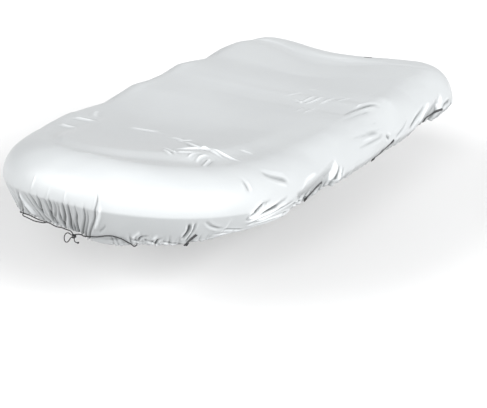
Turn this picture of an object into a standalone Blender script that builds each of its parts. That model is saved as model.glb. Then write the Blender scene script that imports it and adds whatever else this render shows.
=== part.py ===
"""Fitted cover for a small inflatable boat.

One coated cloth lies over the boat, wraps its tubes and is drawn in under their widest line
by a black cord. The cord comes out of the hem on both sides of the bow and is tied there.
Four webbing straps on each side hold it down.

The bow points to -Y, port is +X, and the origin is under the middle of the top panel.
"""
import math
import random

import bmesh
import bpy
from mathutils import Matrix, Vector
from mathutils.bvhtree import BVHTree

# The boat that the cover fits, seen from above, in metres.
LENGTH = 3.60
BEAM = 1.90
BOW_LENGTH = 1.38
BOW_FULLNESS = 2.35  # exponent of the bow's outline, where 2 is an ellipse
CORNER = 0.38
STERN_DIP = 0.12  # how far the stern's middle lies ahead of the tubes' ends
STERN_START = 0.80  # where the rows over the top begin to bend with the stern
STERN_EASE = 0.55
STERN_PULL = 0.11  # and how much further their middles lie ahead of the stern's edge
BOW_RISE = 0.183

# The cloth's section.
TUBE = 0.237  # radius at which the cloth wraps a tube, above its widest line
EDGE_TURN = math.radians(34)  # lean of the skirt where it leaves the widest line
HEM_TURN = math.radians(46)  # and at the hem
TOP_SAG = 0.020
CLOTH = 0.002
WIDEST = CLOTH + TOP_SAG - TUBE  # height of the widest line, from the top's underside

# The skirt below the widest line, by metres round the edge from the bow's tip: its drop to the
# hem, how far the hem lies inboard, and how far the folds' upper ends lie aft of their feet.
SKIRT_PORT = (
    {"along": 0.00, "drop": 0.242, "turn": 0.150, "lean": 0.00},
    {"along": 0.06, "drop": 0.266, "turn": 0.146, "lean": 0.00},
    {"along": 0.17, "drop": 0.268, "turn": 0.136, "lean": 0.00},
    {"along": 0.30, "drop": 0.258, "turn": 0.128, "lean": 0.00},
    {"along": 0.46, "drop": 0.230, "turn": 0.125, "lean": 0.02},
    {"along": 0.70, "drop": 0.215, "turn": 0.122, "lean": 0.04},
    {"along": 0.85, "drop": 0.184, "turn": 0.098, "lean": 0.06},
    {"along": 1.13, "drop": 0.136, "turn": 0.070, "lean": 0.12},
    {"along": 1.42, "drop": 0.110, "turn": 0.060, "lean": 0.12},
    {"along": 1.78, "drop": 0.082, "turn": 0.045, "lean": 0.06},
    {"along": 2.10, "drop": 0.055, "turn": 0.040, "lean": 0.03},
    {"along": 3.00, "drop": 0.060, "turn": 0.045, "lean": 0.06},
    {"along": 3.60, "drop": 0.076, "turn": 0.062, "lean": 0.06},
    {"along": 4.00, "drop": 0.086, "turn": 0.080, "lean": 0.00},
    {"along": 4.92, "drop": 0.090, "turn": 0.065, "lean": 0.00},
)
SKIRT_STARBOARD = (
    {"along": 0.00, "drop": 0.242, "turn": 0.150, "lean": 0.00},
    {"along": 0.25, "drop": 0.228, "turn": 0.148, "lean": 0.00},
    {"along": 0.45, "drop": 0.214, "turn": 0.122, "lean": 0.00},
    {"along": 0.66, "drop": 0.210, "turn": 0.072, "lean": 0.03},
    {"along": 0.88, "drop": 0.186, "turn": 0.056, "lean": 0.06},
    {"along": 1.15, "drop": 0.130, "turn": 0.052, "lean": 0.10},
    {"along": 1.60, "drop": 0.085, "turn": 0.050, "lean": 0.06},
    {"along": 2.10, "drop": 0.058, "turn": 0.042, "lean": 0.03},
    {"along": 3.20, "drop": 0.062, "turn": 0.045, "lean": 0.06},
    {"along": 3.95, "drop": 0.090, "turn": 0.080, "lean": 0.00},
    {"along": 4.92, "drop": 0.090, "turn": 0.065, "lean": 0.00},
)

# Folds drawn up from the hem: how many between two places, the mesh steps in each, their
# depth at the hem, and the angle up the tube where they end.
FOLDS_PORT = (
    {"start": 0.00, "end": 0.20, "count": 6, "steps": 4, "deep": 0.010, "reach": 26},
    {"start": 0.20, "end": 0.95, "count": 10, "steps": 3, "deep": 0.009, "reach": 12},
    {"start": 0.95, "end": 1.62, "count": 8, "steps": 2, "deep": 0.009, "reach": 17},
    {"start": 1.62, "end": 3.30, "count": 11, "steps": 2, "deep": 0.004, "reach": 12},
    {"start": 3.30, "end": 4.20, "count": 9, "steps": 3, "deep": 0.011, "reach": 24},
    {"start": 4.20, "end": 4.92, "count": 4, "steps": 2, "deep": 0.005, "reach": 10},
)
FOLDS_STARBOARD = (
    {"start": 0.00, "end": 0.66, "count": 20, "steps": 4, "deep": 0.010, "reach": 26},
    {"start": 0.66, "end": 1.30, "count": 8, "steps": 3, "deep": 0.009, "reach": 14},
    {"start": 1.30, "end": 3.30, "count": 9, "steps": 3, "deep": 0.004, "reach": 12},
    {"start": 3.30, "end": 4.20, "count": 7, "steps": 3, "deep": 0.010, "reach": 24},
    {"start": 4.20, "end": 4.92, "count": 4, "steps": 2, "deep": 0.005, "reach": 10},
)

# Where the cloth stands proud over what lies under it, or is pulled in by a strap: the place
# round the edge (starboard negative), the angle up the tube, and the spread of each.
SWELLS = (
    {"along": -0.72, "angle": 10, "wide": 0.34, "tall": 40, "proud": 0.026},
    {"along": -1.56, "angle": 66, "wide": 0.24, "tall": 30, "proud": 0.026},
    {"along": -2.36, "angle": 64, "wide": 0.20, "tall": 30, "proud": 0.034},
    {"along": -3.08, "angle": 64, "wide": 0.17, "tall": 28, "proud": 0.022},
    {"along": -3.62, "angle": 62, "wide": 0.20, "tall": 30, "proud": 0.014},
    {"along": -2.00, "angle": 60, "wide": 0.22, "tall": 34, "proud": -0.012},
    {"along": -2.74, "angle": 60, "wide": 0.20, "tall": 34, "proud": -0.010},
    {"along": 2.20, "angle": 62, "wide": 0.22, "tall": 26, "proud": 0.014},
    {"along": 2.98, "angle": 64, "wide": 0.15, "tall": 22, "proud": 0.020},
    {"along": 3.95, "angle": 60, "wide": 0.26, "tall": 30, "proud": 0.012},
    {"along": 2.76, "angle": 2, "wide": 0.14, "tall": 18, "proud": -0.014},
    {"along": -2.76, "angle": 2, "wide": 0.14, "tall": 18, "proud": -0.014},
)

# Flat facets that a strap pulls in. Each starts at a crease that climbs from its foot to its head,
# given by metres round the edge and metres up from the widest line, and slopes in from there to
# its full depth, and from its two sides.
FACETS = (
    {"foot": 1.53, "foot_up": 0.045, "head": 2.08, "head_up": 0.135, "slope": 0.50, "deep": 0.042},
    {"foot": 3.20, "foot_up": 0.010, "head": 3.61, "head_up": 0.140, "slope": 0.50, "deep": 0.042},
    {"foot": -1.60, "foot_up": 0.030, "head": -2.10, "head_up": 0.130, "slope": 0.45, "deep": 0.034},
    {"foot": -3.22, "foot_up": 0.010, "head": -3.60, "head_up": 0.130, "slope": 0.50, "deep": 0.038},
)
FACET_FORE = 0.45  # slopes of a facet's fore and aft sides
FACET_AFT = 0.8
FACET_HEM = 0.55  # the share of a facet's depth that is left at the hem

# Rings of the cloth's mesh. A level from 90 to 0 is the angle up the tube, and one from 0 to
# -1 is the share of the way down the skirt.
COARSE_LEVELS = (90, 72, 52)
FINE_LEVELS = (34, 16, 0, -0.3, -0.65, -1.0)
TOP_COLUMNS = 6

# The search for the folds that a cord rests on.
HEM_LEVEL = -0.985
RIDGE_SPREAD = 0.034
RIDGE_LOOK = 0.080
SKIRT_DEPTH = 0.20  # a rough depth, which makes levels and lengths comparable

# The draw cord, which comes out of the hem beside the bow and is tied at its tip. Each place is
# given by metres round the edge, by level, and by its height over the folds it lies on. A level
# past -1 is below the hem, and a height under 0 is behind the cloth.
CORD = 0.007
CORD_STEP = 0.016
CORD_GAP = 0.0007
CORD_REST = CORD / 2 + CORD_GAP
CORD_UNDER = -0.012
CORD_BEHIND = -0.028
DRAW_STARBOARD = (
    {"along": -0.690, "level": -0.95, "height": CORD_BEHIND},
    {"along": -0.682, "level": -1.07, "height": CORD_UNDER},
    {"along": -0.664, "level": -1.07, "height": 0.000},
    {"along": -0.640, "level": -0.99, "height": CORD_REST},
    {"along": -0.560, "level": -0.97, "height": CORD_REST},
    {"along": -0.420, "level": -0.98, "height": CORD_REST},
    {"along": -0.270, "level": -0.98, "height": CORD_REST},
    {"along": -0.170, "level": -0.98, "height": CORD_REST},
    {"along": -0.085, "level": -0.99, "height": CORD_REST},
)
DRAW_PORT = (
    {"along": 0.000, "level": -0.98, "height": CORD_REST},
    {"along": 0.050, "level": -0.88, "height": CORD_REST},
    {"along": 0.100, "level": -0.82, "height": CORD_REST},
    {"along": 0.160, "level": -0.77, "height": CORD_REST},
    {"along": 0.220, "level": -0.70, "height": CORD_REST},
    {"along": 0.290, "level": -0.66, "height": CORD_REST},
    {"along": 0.340, "level": -0.72, "height": CORD_REST},
    {"along": 0.375, "level": -0.84, "height": CORD_REST},
    {"along": 0.402, "level": -0.95, "height": CORD_REST},
    {"along": 0.420, "level": -1.07, "height": 0.000},
    {"along": 0.436, "level": -1.07, "height": CORD_UNDER},
    {"along": 0.444, "level": -0.95, "height": CORD_BEHIND},
)
SLACK = (
    {"along": -0.642, "level": -0.95, "height": CORD_BEHIND},
    {"along": -0.632, "level": -1.08, "height": CORD_UNDER},
    {"along": -0.610, "level": -1.05, "height": 0.006},
    {"along": -0.570, "level": -1.01, "height": 0.017},
    {"along": -0.500, "level": -1.00, "height": 0.022},
    {"along": -0.430, "level": -1.01, "height": 0.019},
    {"along": -0.387, "level": -1.04, "height": 0.010},
    {"along": -0.366, "level": -1.09, "height": 0.000},
    {"along": -0.352, "level": -1.08, "height": CORD_UNDER},
    {"along": -0.340, "level": -0.95, "height": CORD_BEHIND},
)

# The tie at the bow's tip: the knot's middle, its half sizes, and the routes of the thinner
# loop and tail from it, in metres.
TIE_CORD = 0.006
TIE_STEP = 0.010
KNOT = Vector((-0.040, -1.668, -0.294))
KNOT_HALF = Vector((0.015, 0.012, 0.013))
KNOT_RIDGE = 0.07
KNOT_NEAR = 0.021
KNOT_GAP = 0.0012
KNOT_LEFT = (Vector((-0.012, 0.006, 0.009)), Vector((-0.021, 0.009, 0.015)))
KNOT_RIGHT = (Vector((0.012, 0.006, 0.009)), Vector((0.021, 0.009, 0.015)))
LOOP = (
    Vector((-0.0135, -0.010, 0.0085)),
    Vector((-0.0220, -0.018, 0.0200)),
    Vector((-0.0330, -0.024, 0.0210)),
    Vector((-0.0440, -0.030, 0.0080)),
    Vector((-0.0490, -0.032, -0.0120)),
    Vector((-0.0460, -0.031, -0.0310)),
    Vector((-0.0370, -0.026, -0.0390)),
    Vector((-0.0260, -0.020, -0.0300)),
    Vector((-0.0190, -0.014, -0.0160)),
    Vector((-0.0125, -0.008, -0.0080)),
)
TAIL = (
    Vector((0.0035, -0.003, -0.0170)),
    Vector((0.0045, -0.004, -0.0270)),
    Vector((0.0090, -0.003, -0.0350)),
    Vector((0.0160, 0.000, -0.0385)),
    Vector((0.0240, 0.003, -0.0390)),
)
END_KNOT = 0.0065

# Webbing and the fittings on its ends. Each strap runs from its top, through a bend, to its
# foot: the places round the edge, and their heights from the widest line.
WEB_WIDTH = 0.016
WEB_THICK = 0.0018
WEB_GAP = 0.0007
WEB_CLEAR = 0.0009
WEB_STEP = 0.008
SETTLE_ROUNDS = 12
BUCKLE_LONG = 0.028
BUCKLE_WIDE = 0.027
BUCKLE_THICK = 0.006
BUCKLE_TAPER = 0.62
BUCKLE_ROUND = 0.0012
BUCKLE_GAP = 0.0005
STRAPS = (
    {"top": 0.824, "bend": 0.806, "foot": 0.787, "high": -0.118, "middle": -0.155, "low": -0.190},
    {"top": 1.930, "bend": 1.862, "foot": 1.788, "high": 0.016, "middle": -0.028, "low": -0.062},
    {"top": 2.870, "bend": 2.790, "foot": 2.672, "high": 0.012, "middle": -0.024, "low": -0.050},
    {"top": 3.625, "bend": 3.566, "foot": 3.486, "high": 0.012, "middle": -0.016, "low": -0.044},
)
TAB_ALONG = 4.72
TAB_LEVEL = 80
TAB_LONG = 0.050

COLOURS = {
    "silver_cloth": ((0.80, 0.82, 0.84), 0.42),
    "black_cord": ((0.012, 0.013, 0.015), 0.75),
    "black_webbing": ((0.010, 0.011, 0.012), 0.70),
    "black_plastic": ((0.015, 0.015, 0.016), 0.40),
}


def material(name):
    colour, roughness = COLOURS[name]
    made = bpy.data.materials.new(name)
    made.use_nodes = True
    shader = made.node_tree.nodes["Principled BSDF"]
    shader.inputs["Base Color"].default_value = (*colour, 1)
    shader.inputs["Roughness"].default_value = roughness
    shader.inputs["Metallic"].default_value = 0
    return made


def stern_dip(x):
    """How far the stern's edge lies ahead of the tubes' ends, at a distance from the middle."""
    return STERN_DIP * (0.5 + 0.5 * math.cos(math.pi * min(1.0, abs(x) / (BEAM / 2 - CORNER))))


def half_outline():
    """The widest line seen from above, from the bow's tip down the port side to the stern."""
    side = BEAM / 2
    flat = side - CORNER
    points = []
    for i in range(81):
        turn = math.pi / 2 * i / 80
        x = side * math.sin(turn) ** (2 / BOW_FULLNESS)
        y = BOW_LENGTH * (1 - math.cos(turn) ** (2 / BOW_FULLNESS)) - LENGTH / 2
        points.append(Vector((x, y)))
    for i in range(1, 13):
        turn = math.pi / 2 * i / 12
        y = LENGTH / 2 - CORNER + CORNER * math.sin(turn)
        points.append(Vector((flat + CORNER * math.cos(turn), y)))
    for i in range(1, 13):
        x = flat * (1 - i / 12)
        points.append(Vector((x, LENGTH / 2 - stern_dip(x))))
    return points


HALF = half_outline()
RUN = [0.0]
for first, second in zip(HALF, HALF[1:]):
    RUN.append(RUN[-1] + (second - first).length)
EDGE = RUN[-1]  # length of the widest line from the bow's tip to the stern's middle


def half_point(along):
    """The point of the half outline at a length along it, mirrored past its two ends."""
    if along < 0:
        x, y = half_point(-along)
        return Vector((-x, y))
    if along > EDGE:
        x, y = half_point(2 * EDGE - along)
        return Vector((-x, y))
    i = min(sum(r <= along for r in RUN), len(RUN) - 1)
    share = (along - RUN[i - 1]) / (RUN[i] - RUN[i - 1])
    return HALF[i - 1].lerp(HALF[i], share)


def edge_at(along):
    """The widest line's point and outward direction, with starboard lengths negative."""
    side = 1 if along >= 0 else -1
    length = min(abs(along), EDGE)
    ahead = half_point(length + 0.03) - half_point(length - 0.03)
    ahead.normalize()
    point = half_point(length)
    height = WIDEST + BOW_RISE * max(0.0, -point.y / (LENGTH / 2)) ** 2
    return Vector((side * point.x, point.y, height)), Vector((side * ahead.y, -ahead.x, 0))


def smooth(share):
    share = min(1.0, max(0.0, share))
    return share * share * (3 - 2 * share)


def from_table(rows, along, name):
    """A column of a table at a length along the edge, eased between its rows."""
    for a, b in zip(rows, rows[1:]):
        if along <= b["along"]:
            return a[name] + (b[name] - a[name]) * smooth((along - a["along"]) / (b["along"] - a["along"]))
    return rows[-1][name]


def make_folds(rows, seed):
    """Every fold of one side, of uneven width, from a table of zones."""
    dice = random.Random(seed)
    folds = []
    for row in rows:
        widths = [dice.uniform(0.75, 1.3) for _ in range(row["count"])]
        end = min(row["end"], EDGE)
        if row is rows[-1]:
            end = EDGE
        scale = (end - row["start"]) / sum(widths)
        at = row["start"]
        for width in widths:
            fold = dict(row, start=at, end=at + width * scale, deep=row["deep"] * dice.uniform(0.75, 1.2))
            folds.append(fold)
            at = fold["end"]
    return folds


FOLDS = {1: make_folds(FOLDS_PORT, 5), -1: make_folds(FOLDS_STARBOARD, 8)}


def fold_height(along, level):
    """How far the drawn folds lift the cloth off its even surface."""
    side = 1 if along >= 0 else -1
    length = abs(along)
    for fold in FOLDS[side]:
        if length <= fold["end"]:
            break
    across = (length - fold["start"]) / (fold["end"] - fold["start"])
    shape = math.sin(math.pi * min(1.0, max(0.0, across))) ** 0.8 - 0.55
    if level <= 0:
        return fold["deep"] * shape * (0.45 - 0.55 * level)
    return fold["deep"] * shape * 0.45 * (1 - smooth(level / fold["reach"]))


def swell(along, level):
    """How far the cloth stands proud, or is pulled in, over the places in SWELLS."""
    angle = level if level >= 0 else 30 * level
    total = 0.0
    for row in SWELLS:
        u = (along - row["along"]) / row["wide"]
        v = (angle - row["angle"]) / row["tall"]
        total += row["proud"] * math.exp(-u * u - v * v)
    return total


def facet(along, level):
    """How far the facets in FACETS pull the cloth in."""
    total = 0.0
    for row in FACETS:
        side = math.copysign(1, row["head"])
        if along * side <= 0:
            continue
        length, foot, head = along * side, row["foot"] * side, row["head"] * side
        drop = from_table(SKIRT_PORT if side > 0 else SKIRT_STARBOARD, length, "drop")
        up = TUBE * math.radians(level) if level >= 0 else drop * level
        crease = row["foot_up"] + (row["head_up"] - row["foot_up"]) * (length - foot) / (head - foot)
        sides = min((length - foot) * FACET_FORE, (head - length) * FACET_AFT)
        depth = max(0.0, min((crease - up) * row["slope"], sides, row["deep"]))
        total += depth * (1 + (1 - FACET_HEM) * min(0.0, level))
    return total


def even_face(along, level):
    """A point of the outer face without its folds, and the direction that it faces there."""
    rows = SKIRT_PORT if along >= 0 else SKIRT_STARBOARD
    lean = from_table(rows, abs(along), "lean")
    rise = smooth(0.5 + 0.5 * level if level <= 0 else 0.5 + 0.5 * level / FINE_LEVELS[0])
    edge, out = edge_at(along + math.copysign(lean * rise, along))
    if level >= 0:
        angle = math.radians(level)
        point = edge - out * TUBE * (1 - math.cos(angle))
        point.z += TUBE * math.sin(angle)
        return point, out * math.cos(angle) + Vector((0, 0, math.sin(angle)))
    drop = from_table(rows, abs(along), "drop")
    turn = from_table(rows, abs(along), "turn")
    angle = EDGE_TURN - (HEM_TURN - EDGE_TURN) * level
    inboard = (math.cos(EDGE_TURN) - math.cos(angle)) / (math.cos(EDGE_TURN) - math.cos(HEM_TURN))
    down = (math.sin(angle) - math.sin(EDGE_TURN)) / (math.sin(HEM_TURN) - math.sin(EDGE_TURN))
    point = edge - out * turn * inboard
    point.z -= drop * down
    return point, out * math.cos(angle) - Vector((0, 0, math.sin(angle)))


def wrap(along, level):
    """A point of the cloth's outer face, on its folds and swells."""
    point, facing = even_face(along, level)
    return point + facing * (fold_height(along, level) + swell(along, level) - facet(along, level))


def stations():
    """The mesh's places round the edge, and whether each is the border between two folds."""
    places = []
    for fold in FOLDS[1]:
        for k in range(fold["steps"]):
            places.append((fold["start"] + (fold["end"] - fold["start"]) * k / fold["steps"], k == 0))
    for fold in reversed(FOLDS[-1]):
        for k in range(fold["steps"]):
            places.append((-(fold["end"] - (fold["end"] - fold["start"]) * k / fold["steps"]), k == 0))
    return places


def cover_surface():
    """The cloth's outer face: folded rings round the edge and plain rows over the top."""
    surface = bmesh.new()
    places = stations()
    rings = []
    for along, _ in places:
        rings.append([surface.verts.new(wrap(along, level)) for level in FINE_LEVELS])
    for i, ring in enumerate(rings):
        following = rings[(i + 1) % len(rings)]
        for k in range(len(ring) - 1):
            surface.faces.new((ring[k], ring[k + 1], following[k + 1], following[k]))
    borders = [i for i, (_, border) in enumerate(places) if border]
    crowns = []
    for i in borders:
        crowns.append([surface.verts.new(wrap(places[i][0], level)) for level in COARSE_LEVELS])
    for k, i in enumerate(borders):
        upper, following = crowns[k], crowns[(k + 1) % len(crowns)]
        end = borders[(k + 1) % len(borders)] or len(rings)
        lower = [rings[j % len(rings)][0] for j in range(i, end + 1)]
        surface.faces.new([upper[-1], *lower, following[-1]])
        for a, b, c, d in zip(upper, upper[1:], following[1:], following):
            surface.faces.new((a, b, c, d))
    top_rows(surface, [crown[0] for crown in crowns])
    return surface


def top_rows(surface, crowns):
    """Rows of faces across the top, from each port crown point to its starboard partner."""
    half = len(crowns) // 2
    rows = []
    for j in range(1, half):
        port, starboard = crowns[j], crowns[-j]
        spread = ((port.co - starboard.co).length / (BEAM - 2 * TUBE)) ** 2
        row = [port]
        for k in range(1, TOP_COLUMNS + 1):
            share = k / (TOP_COLUMNS + 1)
            point = port.co.lerp(starboard.co, share)
            ends = stern_dip(port.co.x) * (1 - share) + stern_dip(starboard.co.x) * share
            inward = smooth(1 - abs(2 * share - 1))
            shift = stern_dip(point.x) - ends + STERN_PULL * spread * inward
            point.y -= shift * smooth((point.y - STERN_START) / STERN_EASE)
            point.z -= TOP_SAG * min(1.0, spread) * inward
            row.append(surface.verts.new(point))
        row.append(starboard)
        rows.append(row)
    surface.faces.new([crowns[0], *rows[0]])
    for row, following in zip(rows, rows[1:]):
        for a, b, c, d in zip(row, following, following[1:], row[1:]):
            surface.faces.new((a, b, c, d))
    for a, b in zip(rows[-1], rows[-1][1:]):
        surface.faces.new((crowns[half], b, a))


def add_object(name, mesh, slot, collection):
    made = bpy.data.objects.new(name, mesh)
    mesh.materials.append(material(slot))
    collection.objects.link(made)
    return made


def make_cover(collection):
    surface = cover_surface()
    bmesh.ops.triangulate(surface, faces=surface.faces[:])
    surface.normal_update()
    tree = BVHTree.FromBMesh(surface)
    mesh = bpy.data.meshes.new("cover_cloth")
    surface.to_mesh(mesh)
    surface.free()
    mesh.shade_smooth()
    cover = add_object("cover_cloth", mesh, "silver_cloth", collection)
    shell = cover.modifiers.new("thickness", "SOLIDIFY")
    shell.thickness = CLOTH
    shell.offset = -1
    return tree


def ridge(tree, along, level):
    """The height of the highest fold close to a place, over the even face."""
    heights = []
    for k in range(-6, 7):
        point, facing = even_face(along + RIDGE_SPREAD * k / 6, max(level, HEM_LEVEL))
        distance = tree.ray_cast(point + facing * RIDGE_LOOK, -facing)[3]
        heights.append(RIDGE_LOOK - distance)
    return max(heights)


def curve_through(points, step):
    """Points about a step apart on a smooth curve through the given ones."""
    ends = [2 * points[0] - points[1], *points, 2 * points[-1] - points[-2]]
    fine = []
    for a, b, c, d in zip(ends, ends[1:], ends[2:], ends[3:]):
        for k in range(20):
            t = k / 20
            bend = (2 * a - 5 * b + 4 * c - d) * t ** 2 + (3 * b - a - 3 * c + d) * t ** 3
            fine.append((2 * b + (c - a) * t + bend) / 2)
    fine.append(points[-1])
    run = [0.0]
    for a, b in zip(fine, fine[1:]):
        run.append(run[-1] + (b - a).length)
    count = max(2, round(run[-1] / step))
    spaced = []
    i = 0
    for k in range(count + 1):
        while i < len(run) - 2 and run[i + 1] < run[-1] * k / count:
            i += 1
        share = (run[-1] * k / count - run[i]) / (run[i + 1] - run[i])
        spaced.append(fine[i].lerp(fine[i + 1], share))
    return spaced


def seat_ends(points, tree):
    """Moves those ends of a cord that are hidden behind the cloth onto its inside."""
    for i in (0, -1):
        location, normal, _, _ = tree.find_nearest(points[i])
        if (points[i] - location).dot(normal) < 0:
            points[i] = location - normal * (CLOTH + CORD / 2)


def clear_of_cloth(points, tree):
    """A cord's points, with its hidden ends on the cloth's inside and the rest just off it."""
    seat_ends(points, tree)
    for _ in range(SETTLE_ROUNDS):
        for a, b in zip(points, points[1:]):
            for share in (0.0, 0.25, 0.5, 0.75):
                spot = a.lerp(b, share)
                location, normal, _, distance = tree.find_nearest(spot)
                away = spot - location
                reach = CORD_REST + (CLOTH if away.dot(normal) < 0 else 0)
                away *= max(0.0, reach - distance) / distance
                a += away
                b += away
    seat_ends(points, tree)
    return points


def route_on_cloth(tree, rows):
    """Points along the smooth route of a table, each at its height over the folds."""
    corners = [Vector((row["along"], row["level"] * SKIRT_DEPTH, row["height"])) for row in rows]
    places = curve_through(corners, CORD_STEP)
    ridges = [ridge(tree, place.x, place.y / SKIRT_DEPTH) for place in places]
    points = []
    for i, place in enumerate(places):
        near = ridges[max(0, i - 1):i + 2]
        point, facing = even_face(place.x, place.y / SKIRT_DEPTH)
        points.append(point + facing * (sum(near) / len(near) + place.z))
    return points


def make_cord(name, points, diameter, collection):
    curve = bpy.data.curves.new(name, "CURVE")
    curve.dimensions = "3D"
    curve.bevel_depth = diameter / 2
    curve.bevel_resolution = 2
    curve.use_fill_caps = True
    spline = curve.splines.new("POLY")
    spline.points.add(len(points) - 1)
    for target, point in zip(spline.points, points):
        target.co = (*point, 1)
    return add_object(name, curve, "black_cord", collection)


def knot_skin(way, half):
    """The skin of a knot in a direction from its middle, ridged by the cord's turns."""
    way = way.normalized()
    turns = math.cos(3 * math.atan2(way.z, way.x) + 2.5 * way.y) * (1 - way.y ** 2)
    return way * half * (1 + KNOT_RIDGE * turns)


def from_knot(steps):
    """A route of offsets from the knot's middle, whose first or last point lies on its skin."""
    points = [KNOT + step for step in steps]
    for i in (0, -1):
        if steps[i].length < KNOT_NEAR:
            points[i] = KNOT + knot_skin(steps[i], KNOT_HALF) + steps[i].normalized() * KNOT_GAP
    return points


def make_knot(name, middle, half, collection):
    """A pulled knot: a ball with the ridges of the cord's turns round it."""
    shape = bmesh.new()
    bmesh.ops.create_uvsphere(shape, u_segments=16, v_segments=10, radius=1)
    for vert in shape.verts:
        vert.co = middle + knot_skin(vert.co, half)
    mesh = bpy.data.meshes.new(name)
    shape.to_mesh(mesh)
    shape.free()
    mesh.shade_smooth()
    return add_object(name, mesh, "black_cord", collection)


def make_draw_cords(tree, collection):
    starboard = route_on_cloth(tree, DRAW_STARBOARD)
    starboard += reversed(from_knot(KNOT_LEFT))
    port = from_knot(KNOT_RIGHT) + route_on_cloth(tree, DRAW_PORT)
    slack = route_on_cloth(tree, SLACK)
    routes = {"draw_cord_starboard": starboard, "draw_cord_port": port, "bow_hem_cord": slack}
    for name, points in routes.items():
        make_cord(name, clear_of_cloth(curve_through(points, CORD_STEP), tree), CORD, collection)


def make_tie(collection):
    make_knot("bow_knot", KNOT, KNOT_HALF, collection)
    loop = curve_through(from_knot(LOOP), TIE_STEP)
    make_cord("bow_cord_loop", loop, TIE_CORD, collection)
    tail = curve_through(from_knot(TAIL), TIE_STEP)
    make_cord("bow_cord_tail", tail, TIE_CORD, collection)
    middle = KNOT + TAIL[-1] + (TAIL[-1] - TAIL[-2]).normalized() * (END_KNOT + CORD_GAP)
    make_knot("tail_knot", middle, Vector((END_KNOT, END_KNOT, END_KNOT)), collection)


def level_at(along, height):
    """The level of a place whose height from the widest line is given."""
    if height >= 0:
        return math.degrees(math.asin(height / TUBE))
    rows = SKIRT_PORT if along >= 0 else SKIRT_STARBOARD
    return height / from_table(rows, abs(along), "drop")


def settle(rows, tree):
    """Lifts a strip's points until they and the places between them clear the cloth."""
    for _ in range(SETTLE_ROUNDS):
        for row, following in zip(rows, rows[1:]):
            for a, b, c, d in zip(row, row[1:], following, following[1:]):
                for p, q in ((a, b), (a, c), (b, d), (c, d), (a, d), (b, c)):
                    for share in (0.0, 0.25, 0.5, 0.75, 1.0):
                        spot = p.lerp(q, share)
                        location, normal, _, _ = tree.find_nearest(spot)
                        lack = max(0.0, WEB_CLEAR - (spot - location).dot(normal))
                        p += normal * lack
                        q += normal * lack


def make_ribbon(name, tree, points, collection):
    """Webbing along a row of points, laid on the cloth's outer face. It gives its last frame."""
    rows = []
    for i, point in enumerate(points):
        ahead = (points[min(i + 1, len(points) - 1)] - points[max(i - 1, 0)]).normalized()
        normal = tree.find_nearest(point)[1]
        across = ahead.cross(normal).normalized() * WEB_WIDTH / 2
        row = []
        for share in (-1, 0, 1):
            spot = point + across * share
            location, face_normal, _, _ = tree.find_nearest(spot)
            spot += face_normal * (WEB_GAP - (spot - location).dot(face_normal))
            row.append(spot)
        rows.append(row)
    settle(rows, tree)
    shape = bmesh.new()
    grid = [[shape.verts.new(spot) for spot in row] for row in rows]
    for row, following in zip(grid, grid[1:]):
        for a, b, c, d in zip(row, row[1:], following[1:], following):
            shape.faces.new((a, b, c, d))
    last, before = rows[-1][1], rows[-2][1]
    side = (rows[-1][2] - rows[-1][0]).normalized()
    mesh = bpy.data.meshes.new(name)
    shape.to_mesh(mesh)
    shape.free()
    strip = add_object(name, mesh, "black_webbing", collection)
    body = strip.modifiers.new("thickness", "SOLIDIFY")
    body.thickness = WEB_THICK
    body.offset = 1
    return last, (last - before).normalized(), side


def make_buckle(name, tree, end, ahead, side, collection):
    """The flat fitting past the end of a strap, wider at its free end and clear of the cloth."""
    up = side.cross(ahead).normalized()
    ahead = up.cross(side)
    turn = Matrix((side, ahead, up)).transposed().to_4x4()
    end = end + ahead * BUCKLE_GAP
    lift = 0.0
    for along in (0, 0.5, 1):
        for share in (-0.5, 0, 0.5):
            spot = end + ahead * BUCKLE_LONG * along + side * BUCKLE_WIDE * share
            location, face_normal, _, _ = tree.find_nearest(spot)
            lift = max(lift, WEB_GAP - (spot - location).dot(face_normal))
    middle = end + ahead * BUCKLE_LONG / 2 + up * (lift + BUCKLE_THICK / 2)
    shape = bmesh.new()
    bmesh.ops.create_cube(shape, size=1)
    for vert in shape.verts:
        wide = BUCKLE_WIDE * (BUCKLE_TAPER if vert.co.y < 0 else 1)
        vert.co = Vector((vert.co.x * wide, vert.co.y * BUCKLE_LONG, vert.co.z * BUCKLE_THICK))
    mesh = bpy.data.meshes.new(name)
    shape.to_mesh(mesh)
    shape.free()
    buckle = add_object(name, mesh, "black_plastic", collection)
    buckle.matrix_world = Matrix.Translation(middle) @ turn
    edge = buckle.modifiers.new("edges", "BEVEL")
    edge.width = BUCKLE_ROUND
    edge.segments = 2


def make_straps(tree, collection):
    for side, word in ((1, "port"), (-1, "starboard")):
        for number, strap in enumerate(STRAPS, start=1):
            corners = []
            for place, height in (("top", "high"), ("bend", "middle"), ("foot", "low")):
                along = side * strap[place]
                corners.append(wrap(along, level_at(along, strap[height])))
            line = curve_through(corners, WEB_STEP)
            end = make_ribbon(f"strap_{word}_{number}", tree, line, collection)
            make_buckle(f"buckle_{word}_{number}", tree, *end, collection)


def make_stern_tab(tree, collection):
    first = even_face(TAB_ALONG - TAB_LONG / 2, TAB_LEVEL)[0]
    second = even_face(TAB_ALONG + TAB_LONG / 2, TAB_LEVEL)[0]
    make_ribbon("stern_tab", tree, curve_through([first, second], WEB_STEP), collection)


def start():
    for old in list(bpy.data.objects):
        bpy.data.objects.remove(old)
    collection = bpy.data.collections.new("boat_cover")
    bpy.context.scene.collection.children.link(collection)
    return collection


def main():
    collection = start()
    tree = make_cover(collection)
    make_draw_cords(tree, collection)
    make_tie(collection)
    make_straps(tree, collection)
    make_stern_tab(tree, collection)


main()
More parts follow.
